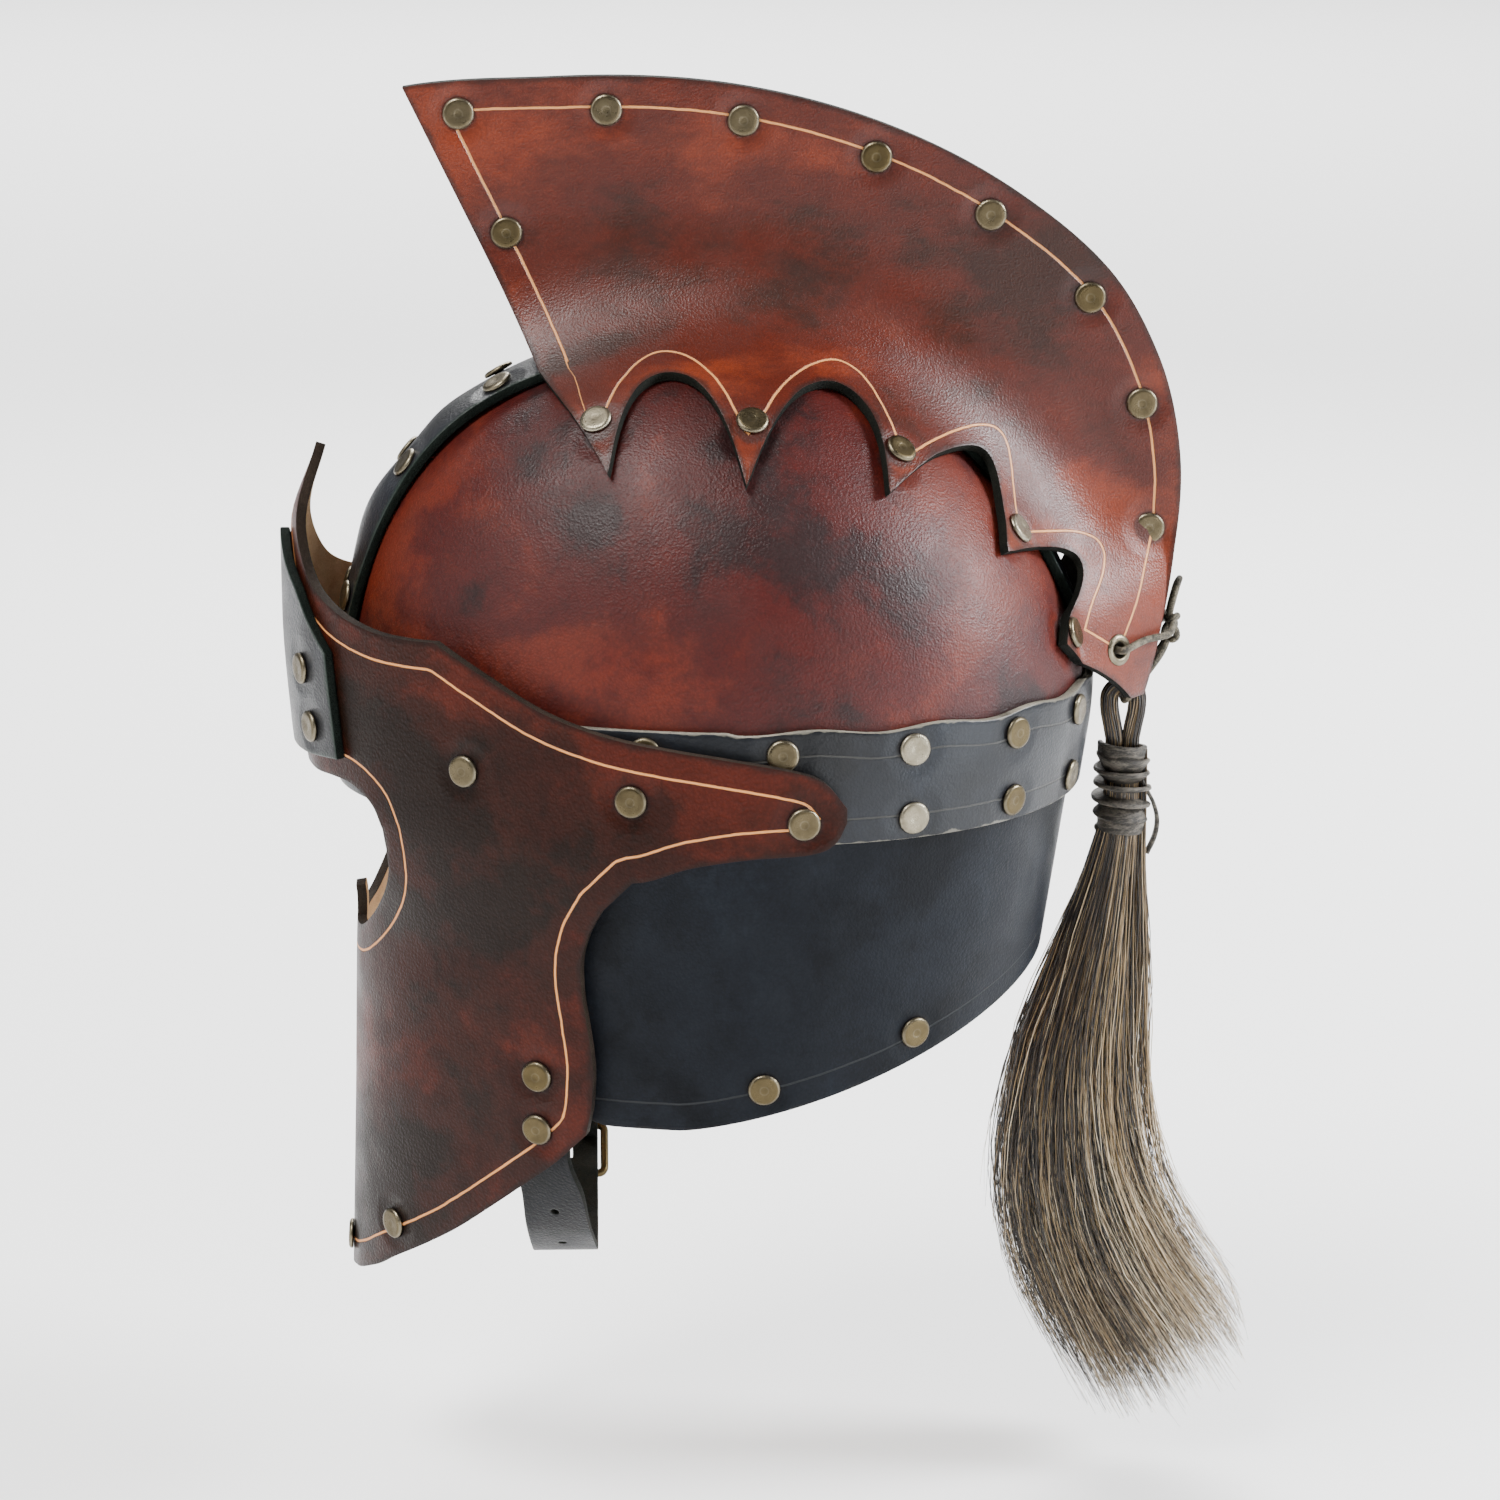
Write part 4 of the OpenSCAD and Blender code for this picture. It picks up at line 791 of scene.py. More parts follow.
def band_place(u, v, off):
    a = 360 * u
    wave = 0.8 * sin((a - 8) * 18) * (v > 0.75) * (v - 0.75) * 4 * (a > 0) * (a < 180)
    return head_point(a, mix(-band_h / 2, band_h / 2, v) + wave, band_out + off)

bm = flat_grid(240, 20)
lay_hide(bm, band_place)
bmesh.ops.remove_doubles(bm, verts=bm.verts, dist=1e-5)
band_spots = [(a, band_row) for a in band_angles] + [(a, -band_row) for a in band_low_angles]
measure_hide(bm, spots_on(lambda a, z, off: head_point(a, z, band_out), band_spots))
band = finish_object("band", bm, "helmet", ["head_band"],
                     [black_hide, tan_flesh, pale_edge])
thicken(band, hide_t)
print("head band", len(band.data.polygons), "faces")

# %% [markdown]
# ## Neck guard
# A wide sheet hangs from the band over the nape, and its lower edge is higher behind than
# at the sides. It leans in with the head form, which a flat cut-out wouldn't do. The real
# one has a scribed line along its lower edge only, so the measure that lines follow is
# replaced here by the height above that edge.

# %% Neck guard
guard_sides, guard_nape = 90, 52
neck_rivets = [[6, 9], [32, 9]]

def neck_low_edge(a):
    behind = (np.maximum(0, sin(a) * 1.2 + 0.15) / 1.35) ** 1.3
    return -band_h / 2 - mix(guard_sides, guard_nape, behind)

def neck_point(a, z, off):
    return head_point(a, z, off - 0.075 * np.maximum(-band_h / 2 - z, 0) * cos(a) ** 2)

def neck_place(u, v, off):
    a = mix(-24, 204, u)
    corner = 4 * np.maximum(0, 1 - 40 * np.minimum(u, 1 - u)) ** 2
    return neck_point(a, mix(neck_low_edge(a) + corner, 1.2, v), off)

bm = flat_grid(150, 40)
lay_hide(bm, neck_place)
measure_hide(bm, spots_on(lambda a, z, off: neck_point(a, z, 0.0),
                          [(a, neck_low_edge(a) + up) for a, up in neck_rivets]))
rim = bm.verts.layers.float["rim"]
for v in bm.verts:
    bearing = math.degrees(math.atan2(v.co.y / half_l, v.co.x / half_w))
    v[rim] = v.co.z - float(neck_low_edge(bearing)) * MM
neck = finish_object("neck", bm, "helmet", ["neck_guard"],
                     [neck_hide, tan_flesh, dark_flesh])
thicken(neck, hide_t)
print("neck guard", len(neck.data.polygons), "faces")

# %% [markdown]
# ## Face mask
# The mask is one sheet with an eye opening cut out. Its outline is drawn by guides, from
# the middle of the face to the ear: each holds a bearing and a height for the lower edge,
# the eye's lower and upper edge, and the top. Curves run through the guides and turn
# sharply only at the corners that the real sheet has.

# %% Mask form
mask_seat = band_out + 1.5 + layer_gap + hide_t
mask_front = [[-180, 2.5], [-123, 0.5], [-67, -1.5], [-57, -2], [-14, 12], [0, 14], [35, 16],
              [60, 16], [85, 8], [100, 4]]
mask_side = [[-180, -9], [-130, -3], [-100, 0.5], [-60, 3.2], [-15, mask_seat],
             [100, mask_seat]]

def mask_out(a, z):
    """How far the mask stands off the head form: one table at the face, one at the side."""
    to_front = np.clip((-34 - np.degrees(np.arcsin(sin(a)))) / 56, 0, 1) ** 1.2
    return mix(smooth(z, mask_side), smooth(z, mask_front), to_front)

def mask_point(a, z, off):
    return oval_point(a, z, mask_out(a, z) + off - nape_pull(a, z))

print("the mask stands", mask_seat, "mm off the head form at the temple")

# %% Mask outline
eye_low, eye_high, mask_top, mask_cols = 6, 9, 14, 16
mask_guides = np.array([
    [[0, -176], [0, -51], [0, -11], [0, 86]],
    [[4, -175.2], [2.6, -52], [3, -11], [3, 77]],
    [[8, -174], [3.6, -61], [7, -11], [6.5, 66]],
    [[15, -170], [14, -60], [13, -11], [10, 56]],
    [[22, -164.5], [22, -54], [21, -10], [16, 47]],
    [[29, -159], [29, -45], [27, -10.5], [25, 41]],
    [[36, -152.8], [33, -36], [32, -15], [34, 38]],
    [[43, -145.6], [34, -28], [34, -22], [41, 37.6]],
    [[51, -135.5], [44, -29], [44, -22.5], [46.6, 38]],
    [[58, -125.8], [55, -32], [55, -23.5], [55, 29.8]],
    [[63.5, -117.6], [66, -36], [66, -25], [64, 21.2]],
    [[68.6, -108], [72.5, -37], [77, -27.5], [73, 15.6]],
    [[68.6, -108], [72.5, -37], [85, -22.2], [82, 12.4]],
    [[68.6, -108], [72.5, -37], [93, -19.2], [90, 10]],
    [[68.6, -108], [72.5, -37], [101.5, -17.9], [98.5, 6.8]],
    [[68.6, -108], [72.5, -37], [104.9, -15], [103.3, 3.2]],
    [[68.6, -108], [72.5, -37], [106.6, -9], [106.6, -4.6]]])
mask_corners = [[11], [1, 2, 7, 11], [7], [8]]
cheek_bow = [[0, 0], [0.15, 0.6], [0.26, 0.5], [0.37, -0.1], [0.5, -1.2], [0.65, -2.4],
             [0.76, -2.7], [0.87, -2], [1, 0]]

print("mask guides:", len(mask_guides))

# %% Places on the mask
def guide_curve(i, row):
    """Bearing and height of one guide row at guide number i, with its sharp corners kept."""
    v = mask_guides[:, row]
    k = np.clip(i.astype(int), 0, len(v) - 2)
    t = (i - k)[:, None]
    step = v[k + 1] - v[k]
    sharp = np.zeros(len(v), bool)
    sharp[mask_corners[row] + [len(v) - 1]] = True
    before, after = v[np.maximum(k - 1, 0)], v[np.minimum(k + 2, len(v) - 1)]
    start = np.where((sharp[k] | (k == 0))[:, None], step, (v[k + 1] - before) / 2)
    if row in (0, 2):
        start[k == 0] *= [1, 0]
    end = np.where(sharp[k + 1][:, None], step, (after - v[k]) / 2)
    return ((2 * t**3 - 3 * t**2 + 1) * v[k] + (t**3 - 2 * t**2 + t) * start
            + (3 * t**2 - 2 * t**3) * v[k + 1] + (t**3 - t**2) * end)

def mask_place(u, v, off):
    """u counts guides from the middle, negative to the right; v counts rows from below."""
    i = np.abs(u)
    g = [guide_curve(i, row) for row in range(4)]
    cheek = np.clip(v / eye_low, 0, 1)[:, None]
    low = mix(g[0], g[1], cheek)
    low[:, 0] += smooth(cheek[:, 0], cheek_bow) * np.clip((i - 7) / 4, 0, 1)
    eye = mix(g[1], g[2], ((v - eye_low) / (eye_high - eye_low))[:, None])
    brow = mix(g[2], g[3], ((v - eye_high) / (mask_top - eye_high))[:, None])
    q = np.where((v <= eye_low)[:, None], low, np.where((v <= eye_high)[:, None], eye, brow))
    return mask_point(-90 + q[:, 0] * np.sign(u), q[:, 1], off)

print("mask peak", mask_place(np.array([0.0]), np.array([14.0]), 0)[0].round(1))

# %% Face mask
temple_rivets = [[-38.5, 1], [-13, -3], [10.5, -8.7]]
cheek_rivets = [[-29, -91], [-29.5, -108]]
chin_rivets = [[-65, -151.5], [-90, -167]]
mask_stains = [[-84, 0, 20, -0.07], [-75, -40, 20, -0.05], [-60, 15, 14, -0.05],
               [-108, 20, 16, -0.05], [-92, -100, 20, 0.05], [-72, -115, 16, 0.04],
               [-12, 5, 20, -0.01], [-50, -75, 14, 0.04], [-100, -60, 12, 0.03]]

def in_opening(u, v):
    """The eye opening, and below the temple's arm, where the band and neck guard show."""
    i, j = abs(u - 0.5) * 2 * mask_cols, v * mask_top
    return (i < 7 and eye_low < j < eye_high) or (i > 11 and j < eye_high)

bm = flat_grid(12 * mask_cols, 6 * mask_top)
flat = lay_hide(bm, lambda u, v, off: mask_place((u - 0.5) * 2 * mask_cols, v * mask_top, off))
middle = {f: np.mean([flat[v.index] for v in f.verts], axis=0) for f in bm.faces}
gone = [f for f, (u, v) in middle.items() if in_opening(u, v)]
bmesh.ops.delete(bm, geom=gone, context="FACES")
bmesh.ops.remove_doubles(bm, verts=bm.verts, dist=1e-5)
measure_hide(bm, spots_on(lambda a, z, off: mask_point(a, z, 0.0),
                          temple_rivets + cheek_rivets + chin_rivets))
stain(bm, mask_stains, near_rim=0.03)
mask = finish_object("mask", bm, "helmet", ["face_mask"],
                     [mask_hide, tan_flesh, brown_edge])
thicken(mask, hide_t)
print("face mask", len(mask.data.polygons), "faces")

# %% [markdown]
# ## Brow plate
# A five sided plate of thick black leather with a green suede edge is riveted over the
# forehead. A flat plate would stand off at its ends. This grid lies on the mask's own form,
# one hide further out, between a lower and an upper line that come from a table.

# %% Brow plate
plate_rivets = [[-75, 21.5], [-72.5, 4.5]]
plate_half, plate_top_half = 26, 24
on_plate = layer_gap + hide_t
plate_rise = [[-26, -3, 29], [-20, -4, 37], [-14, -5, 46], [-7, -5.5, 52], [0, -6, 60]]
plate_rise += [[-a, low, high] for a, low, high in plate_rise[-2::-1]]

def plate_place(u, v, off):
    side = mix(-plate_half, plate_half, u)
    low = straight(side, [[a, low] for a, low, high in plate_rise])
    high = straight(side, [[a, high] for a, low, high in plate_rise])
    bearing = side * mix(1, plate_top_half / plate_half, v)
    return mask_point(-90 + bearing, mix(low, high, v), on_plate + off)

bm = flat_grid(40, 40)
lay_hide(bm, plate_place)
measure_hide(bm, spots_on(lambda a, z, off: mask_point(a, z, on_plate), plate_rivets))
plate = finish_object("plate", bm, "helmet", ["brow_plate"],
                      [plate_hide, dark_flesh, green_suede])
thicken(plate, hide_t, edge=0.6)
print("brow plate", len(plate.data.polygons), "faces")

# %% [markdown]
# ## Crest
# Two leaves stand back to back along the middle and spread at the bottom into points that
# are riveted to the skull. Each leaf is worked out in slices: planes that turn about the
# ear axis like a fan. In a slice the leaf lies on the dome, bends up in a smooth curve
# that clears the centre strap, and runs straight to the outer edge.

# %% Crest slices
leaf_mid = 1.7
marks = [115.8, 111, 85.5, 59, 35.5, 16.5, 4]
crest_tip = [[4, 17], [16.5, 39], [35.5, 46], [59, 60], [85.5, 68], [111, 60], [115.8, 21]]
crest_arch = [[26, 17], [48, 20.4], [71, 30], [97, 34]]
crest_edge = [[4, 129], [9.5, 135], [20, 148], [30, 162], [40, 173.5], [50, 181],
              [60, 183.5], [75, 187.5], [90, 193], [104, 200.5], [115.8, 213]]
crest_foot = [[4, 34], [16.5, 30], [36, 32], [60, 38], [115.8, 38]]
crest_apart = [[4, 12], [12, 8], [23, leaf_mid], [115.8, leaf_mid]]
crest_bend = [[4, 1], [17, 0.95], [36, 0.65], [60, 0.62], [115.8, 0.55]]
leaf_rows = 60
on_skull = crown_gap + hide_t / 2

def leaf_reach(f):
    """How far from the middle the leaf's lower edge is: an arch between two points."""
    for start, end in zip(marks[1:], marks[2:-1]):
        if start >= f > end:
            arch = max(math.sin(math.pi * (start - f) / (start - end)), 0) ** 1.2
            return mix(straight(f, crest_tip), straight(f, crest_arch), arch)
    return straight(f, crest_tip)

print("the lower edge is", round(float(leaf_reach(97)), 1), "mm out in a lobe")

# %% One slice of the crest
def leaf_line(f):
    """Middle of the leaf in slice f: x and distance, from its lower to its outer edge."""
    reach, foot, top = leaf_reach(f), smooth(f, crest_foot), smooth(f, crest_apart)
    low = np.array([foot, dome_reach(foot, f, on_skull)])
    high = np.array([top, mix(low[1], smooth(f, crest_edge), smooth(f, crest_bend))])
    clear = dome_reach(strap_w / 2, f, 2 * crown_gap + strap_t + hide_t / 2 + 0.5)
    s = 1 - math.sqrt((strap_w / 2 - top) / (foot - top))
    knee = np.array([top, (clear - (1 - s) ** 2 * low[1] - s * s * high[1]) / (2 * s * (1 - s))])
    knee = mix(knee, (low + high) / 2, ease((30 - f) / 14))
    a, b, c = low[0] - 2 * knee[0] + high[0], 2 * (low[0] - knee[0]), max(low[0] - reach, 0)
    start = 2 * c / (b + math.sqrt(b * b - 4 * a * c))
    t = np.linspace(start, 1, 60)[:, None]
    points = (1 - t) ** 2 * low + 2 * t * (1 - t) * knee + t * t * high
    if reach > foot:
        x = np.linspace(reach, foot, 12)[:-1]
        points = np.vstack([np.stack([x, dome_reach(x, f, on_skull)], 1), points])
    points = np.vstack([points, [[top, smooth(f, crest_edge)]]])
    run = np.concatenate([[0], np.cumsum(np.linalg.norm(np.diff(points, axis=0), axis=1))])
    steps = np.linspace(0, run[-1], leaf_rows + 1)
    return np.stack([np.interp(steps, run, points[:, 0]), np.interp(steps, run, points[:, 1])], 1)

fan_angles = np.concatenate([np.linspace(a, b, n + 1)[:-1] for a, b, n in
                             zip(marks, marks[1:], (10, 36, 36, 34, 28, 16))] + [[4.0]])
leaf_lines = np.array([leaf_line(f) for f in fan_angles])
leaf_across = np.gradient(leaf_lines, axis=1)
leaf_across /= np.linalg.norm(leaf_across, axis=2, keepdims=True)
print("crest slices:", len(fan_angles), "front edge at", leaf_lines[0][-1].round(1))

# %% [markdown]
# A brass eyelet goes through each rear tip of the crest. Its place could be typed in, but
# the leaf is curved there. So the CAD eyelet's box is asked for its middle, and the point
# of the leaf nearest to it is found, with the direction square to the leather.

# %% Eyelet place
eyelet_f = 11.5

def leaf_at(f, share):
    """Place and outward direction at a share of the way up the leaf in slice f."""
    line, rows = leaf_line(f), range(leaf_rows + 1)
    p, q = (np.array([np.interp(k, rows, line[:, c]) for c in (0, 1)])
            for k in (share * leaf_rows, share * leaf_rows + 0.5))
    d = (q - p) / np.linalg.norm(q - p)
    n = np.array([d[1], -d[0]])
    return fan(p[:1], p[1:], np.array([f]))[0], fan(n[:1], n[1:], np.array([f]))[0]

low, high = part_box("crest_eyelets")
wanted = [(low.y + high.y) / 2 / MM, (low.z + high.z) / 2 / MM]
eyelet_share = min(np.linspace(0.05, 0.9, 171),
                   key=lambda s: np.linalg.norm(leaf_at(eyelet_f, s)[0][1:] - wanted))
eyelet_spot, eyelet_axis = leaf_at(eyelet_f, eyelet_share)
print("eyelet at", eyelet_spot.round(1), "share", round(float(eyelet_share), 2))

# %% [markdown]
# A line is scribed round each crest leaf: along the outer edge, down the front, and back
# over the lobes, where it dips between the points. The distance to the outline alone can't
# draw it, because it keeps its own distance on every side. So the line is laid out as a row
# of points on the leaf, and each corner of the sheet stores how far it is from them, above
# 0 inside the line and below 0 outside it.

# %% Scribed line
edge_gap, point_gap = 9, 17
leaf_run = leaf_rows * np.linalg.norm(leaf_lines[:, 1] - leaf_lines[:, 0], axis=1)

def run_at(f):
    """Length of the leaf from its lower to its outer edge in slice f."""
    return np.interp(f, fan_angles[::-1], leaf_run[::-1])

def lobe_gap(f, a, b):
    return point_gap - 6.5 * max(math.sin(math.pi * (a - f) / (a - b)), 0) ** 0.35

over_lobe = np.array([[f, lobe_gap(f, a, b)] for a, b in zip(marks[1:], marks[2:-1])
                      for f in np.linspace(a, b, 24)[:-1]])[::-1]
front_f = 113.0
front_drop = np.linspace(edge_gap, run_at(112.6) - 31, 700)
front_rows = np.linspace(0, run_at(front_f), leaf_rows + 1)
front_reach = np.interp(run_at(front_f) - front_drop, front_rows, leaf_line(front_f)[:, 1])
front_bearing = marks[0] - np.degrees(edge_gap / front_reach)
line_bend = [front_bearing[-1], run_at(front_bearing[-1]) - front_drop[-1]]
at_eyelet = eyelet_share * run_at(eyelet_f)
line_table = np.vstack([[[marks[-1], at_eyelet], [eyelet_f, at_eyelet]], over_lobe, [line_bend]])

def line_low(f):
    """Distance of the lower line from the leaf's lower edge, along the leaf, in slice f."""
    return np.interp(f, *line_table.T)

def line_high(f):
    """The upper line: edge_gap inside the outer edge, and drawn in towards the eyelet."""
    drawn_in = np.clip((f - eyelet_f) / 12.5, 0, 1)
    return run_at(f) - mix(run_at(eyelet_f) - at_eyelet, edge_gap, drawn_in)

print("the line bends at", np.round(line_bend, 1))

# %% Points of the scribed line
def leaf_spot(f, along):
    """Points on the leaf at angles f and distances from its lower edge."""
    slices = len(fan_angles)
    i, j = np.interp(f, fan_angles[::-1], np.arange(slices)[::-1]), along / run_at(f) * leaf_rows
    i0, j0 = np.minimum(i.astype(int), slices - 2), np.clip(j.astype(int), 0, leaf_rows - 1)
    a, b = (i - i0)[:, None], (j - j0)[:, None]
    p, q = (mix(leaf_lines[k, j0], leaf_lines[k, j0 + 1], b) for k in (i0, i0 + 1))
    p = mix(p, q, a)
    return fan(p[:, 0], p[:, 1], f)

low_f = np.linspace(eyelet_f, front_bearing[-1], 2400)
high_f = np.linspace(eyelet_f, front_bearing[0], 1400)
scribed = np.vstack([leaf_spot(low_f, line_low(low_f)), leaf_spot(high_f, line_high(high_f)),
                     leaf_spot(front_bearing, run_at(front_bearing) - front_drop)])
print("scribed line of", len(scribed), "points")

# %% [markdown]
# The leaves are laid slice by slice and given the line, the rivets' dents with their rings of
# painted shade, and their dye: dark over the crown and brighter at the points. The hole of
# the eyelet is cut last, so that the line doesn't turn round it.

# %% Rivets and dyes of the crest
ridge_inset, ridge_x = 10, leaf_mid + hide_t / 2
ridge_angles = [112.5, 100, 87.5, 74.5, 62, 49, 37, 24]
ridge_places = [(smooth(f, crest_edge) - ridge_inset, f) for f in ridge_angles]
ridge_spots = [fan(np.array([ridge_x]), np.array([r]), np.array([f]))[0]
               for r, f in ridge_places + [(161.5, 112.8)]]
crest_stains = [[-28, 150, 22, -0.06], [14, 156, 15, -0.06], [36, 141, 13, -0.05],
                [66, 118, 12, -0.04], [2, 169, 13, 0.05], [40, 160, 15, 0.05],
                [48, 134, 16, 0.06], [-80, 186, 11, 0.05], [92, 100, 22, 0.03],
                [60, 104, 12, 0.05], [9, 86, 8, 0.12], [53, 84, 8, 0.16], [-8, 120, 16, 0.03]]

print("rivets along the ridge:", len(ridge_spots))

# %% Crest leaves
def leaf_place(u, v, off, side):
    i = np.rint(u * (len(fan_angles) - 1)).astype(int)
    j = np.rint(v * leaf_rows).astype(int)
    p, d = leaf_lines[i, j], leaf_across[i, j]
    return fan(p[:, 0] + d[:, 1] * off, p[:, 1] - d[:, 0] * off, fan_angles[i]) * [side, 1, 1]

def draw_line(bm, flat, side):
    drawn = bm.verts.layers.float.new("drawn")
    f = np.interp(flat[:, 0] * (len(fan_angles) - 1), np.arange(len(fan_angles)), fan_angles)
    along = flat[:, 1] * run_at(f)
    front = np.interp(run_at(f) - along, front_drop, front_bearing)
    inside = (along > line_low(f)) & (along < line_high(f)) & (f < front) & (f > eyelet_f)
    apart = nearest([v.co for v in bm.verts], scribed * [side, 1, 1] * MM)
    for v, d, within in zip(bm.verts, apart, inside):
        v[drawn] = d if within else -d

def crest_leaf(side, name):
    bm = flat_grid(len(fan_angles) - 1, leaf_rows)
    flat = lay_hide(bm, lambda u, v, off: leaf_place(u, v, off, side))
    draw_line(bm, flat, side)
    measure_hide(bm, [p * [side, 1, 1] for p in ridge_spots]
                 + [p for p in panel_rivets if p[0] * side > 0])
    stain(bm, crest_stains, near_rim=0.03)
    hole = Vector(eyelet_spot * [side, 1, 1]) * MM
    gone = [f for f in bm.faces if (f.calc_center_median() - hole).length < 3.3 * MM]
    bmesh.ops.delete(bm, geom=gone, context="FACES")
    bmesh.ops.remove_doubles(bm, verts=bm.verts, dist=1e-6)
    leaf = finish_object(name + "_hide", bm, "helmet", [name],
                         [crest_hide, dark_flesh, dark_flesh])
    return thicken(leaf, hide_t, 0.0)

for side, name in ((1, "crest_left"), (-1, "crest_right")):
    print(name, len(crest_leaf(side, name).data.polygons), "faces")

# %% [markdown]
# ## Rivets
# A double cap rivet is a short post with a shallow cap pressed on each end. A squashed
# sphere would do from afar, but these caps have a soft edge and a faint ring in the middle,
# so one profile is spun once round its axis, and a copy stands square on the leather at
# each place. A few caps are worn bright, the others have gone brown to different degrees.

# %% Rivet profile
cap_half = [(0, 1.3), (0.9, 1.31), (1.25, 1.37), (1.6, 1.4), (3.2, 1.44), (3.9, 1.42),
            (4.4, 1.2), (4.7, 0.8), (4.75, 0.45), (4.6, 0.12), (1.6, 0.0)]
flat_back = [(3.5, 0.02), (3.8, 0.15), (3.75, 0.6), (3.3, 0.85), (2.0, 0.8), (1.4, 0.5),
             (0, 0.5)]
brown_tones, worn_tone = [0.0, 0.03, 0.06, 0.1, 0.14], 0.55

def spin_profile(bm, profile, steps):
    """Spin a profile of [radius, height] in mm round the z axis."""
    line = [bm.verts.new((r * MM, 0, z * MM)) for r, z in profile]
    edges = [bm.edges.new(pair) for pair in zip(line, line[1:])]
    bmesh.ops.spin(bm, geom=line + edges, cent=(0, 0, 0), axis=(0, 0, 1),
                   angle=2 * math.pi, steps=steps, use_merge=True)
    bmesh.ops.remove_doubles(bm, verts=bm.verts, dist=1e-6)
    bmesh.ops.recalc_face_normals(bm, faces=bm.faces)

def rivet_profile(grip, two_caps):
    """From the middle of the outer cap down the post to the middle of the inner end."""
    inner_end = cap_half[::-1] if two_caps else flat_back
    return cap_half + [(1.6, -grip)] + [(r, -grip - z) for r, z in inner_end]

print("rivet profile", len(rivet_profile(3, False)), "points")

# %% Rivet sets
def stand_on(place, normal):
    turn = Vector(normal).to_track_quat("Z", "Y").to_matrix().to_4x4()
    return Matrix.Translation(Vector(place) * MM) @ turn

def rivet_set(name, node, stands, grips, two_caps=False, seed=0, worn=()):
    """All rivets of one job: stands holds each place and normal, grips the length or
    lengths of the post, and worn the numbers of the caps that are rubbed bright."""
    rng = random.Random(seed)
    bm = bmesh.new()
    tint = bm.verts.layers.float.new("tint")
    for which, (stand, grip) in enumerate(zip(stands, np.broadcast_to(grips, len(stands)))):
        one = bmesh.new()
        spin_profile(one, rivet_profile(grip, two_caps), 28)
        turn = Matrix.Rotation(rng.uniform(0, 6), 3, "Z")
        bmesh.ops.rotate(one, verts=one.verts, cent=(0, 0, 0), matrix=turn)
        bmesh.ops.transform(one, matrix=stand_on(*stand), verts=one.verts)
        tone = worn_tone if which in worn else rng.choice(brown_tones)
        back_to_axis = stand_on(*stand).inverted()
        for v in join_in(bm, one):
            reach = (back_to_axis @ v.co).xy.length / MM
            # painted highlight: corners by the cap's rounded rim get a lighter tint, standing in
            # for the lamps' glint on it
            painted_edge_glint = 0.35 * float(ease((reach - 3.9) / 0.7))
            v[tint] = tone + painted_edge_glint + 0.12 * (1.1 < reach < 1.5)
    return finish_object(name, bm, "helmet", [node], [brass])

print("brown tones of the caps:", brown_tones)

# %% Stands for rivets
def square_on(place, u, v):
    """Place and outward normal of a surface given by place(u, v)."""
    at_spot = lambda p, q: place(np.array([float(p)]), np.array([float(q)]))[0]
    step = 0.5
    n = np.cross(at_spot(u + step, v) - at_spot(u - step, v),
                 at_spot(u, v + step) - at_spot(u, v - step))
    return at_spot(u, v), n / np.linalg.norm(n)

def both_sides(stands):
    return [(p * k, n * k) for p, n in stands for k in (np.array([1, 1, 1]), other_side)]

def dome_pairs(spots, up):
    """Stands on the dome, up mm above it, at spots of x and angle."""
    stands = [square_on(lambda x, f: fan(x, dome_reach(x, f, up), f), x, f) for x, f in spots]
    return both_sides([(p, n if np.dot(n, p) > 0 else -n) for p, n in stands])

def pairs_on(place, spots):
    return both_sides([square_on(place, a, z) for a, z in spots])

print("a stand on the crown at", dome_pairs([(strap_rivet_x, 90)], 0)[0][0].round(1))

# %% Rivets on the crest and strap
outwards = np.array([1.0, 0, 0])
ridge_grip = 2 * ridge_x
rivet_set("ridge_rivets", "rivets_crest_ridge", [(p, outwards) for p in ridge_spots],
          ridge_grip, two_caps=True, seed=3)
rivet_set("point_rivets", "rivets_crest_points",
          dome_pairs([(x, f) for f, x in point_rivets], crown_gap + hide_t),
          2 * hide_t + crown_gap, seed=5, worn=(0, 5, 6))
rivet_set("strap_rivets", "rivets_skull_strap",
          dome_pairs([(strap_rivet_x, f) for f in strap_rivet_angles], crown_gap + strap_t),
          hide_t + strap_t + crown_gap, seed=7)
print("crest rivets", len(ridge_spots) + 2 * len(point_rivets))

# %% Rivets on the band, neck guard, mask and plate
on_band = lambda a, z: head_point(a, z, band_out)
on_neck = lambda a, z: neck_point(a, z, 0.0)
on_mask = lambda a, z: mask_point(a, z, 0)
band_grip = 2 * hide_t + layer_gap
rivet_set("band_rivets_upper", "rivets_band_upper",
          pairs_on(on_band, [(a, band_row) for a in band_angles]), band_grip,
          seed=21, worn=(3, 6))
rivet_set("band_rivets_lower", "rivets_band_lower",
          pairs_on(on_band, [(a, -band_row) for a in band_low_angles]), band_grip,
          seed=12, worn=(0, 3))
rivet_set("neck_rivets", "rivets_neck_guard",
          pairs_on(on_neck, [(a, float(neck_low_edge(a)) + up) for a, up in neck_rivets]),
          hide_t, seed=13)
rivet_set("temple_rivets", "rivets_temple", pairs_on(on_mask, temple_rivets),
          np.repeat([float(mask_out(np.array(a), np.array(z))) + hide_t
                     for a, z in temple_rivets], 2), seed=14)
rivet_set("cheek_rivets", "rivets_cheek", pairs_on(on_mask, cheek_rivets), hide_t + 2.9,
          seed=15)
rivet_set("chin_rivets", "rivets_chin",
          pairs_on(on_mask, chin_rivets[:1]) + [square_on(on_mask, *chin_rivets[1])],
          hide_t, seed=16)
rivet_set("plate_rivets", "rivets_brow_plate",
          pairs_on(lambda a, z: mask_point(a, z, on_plate), plate_rivets),
          on_plate + hide_t, seed=17)

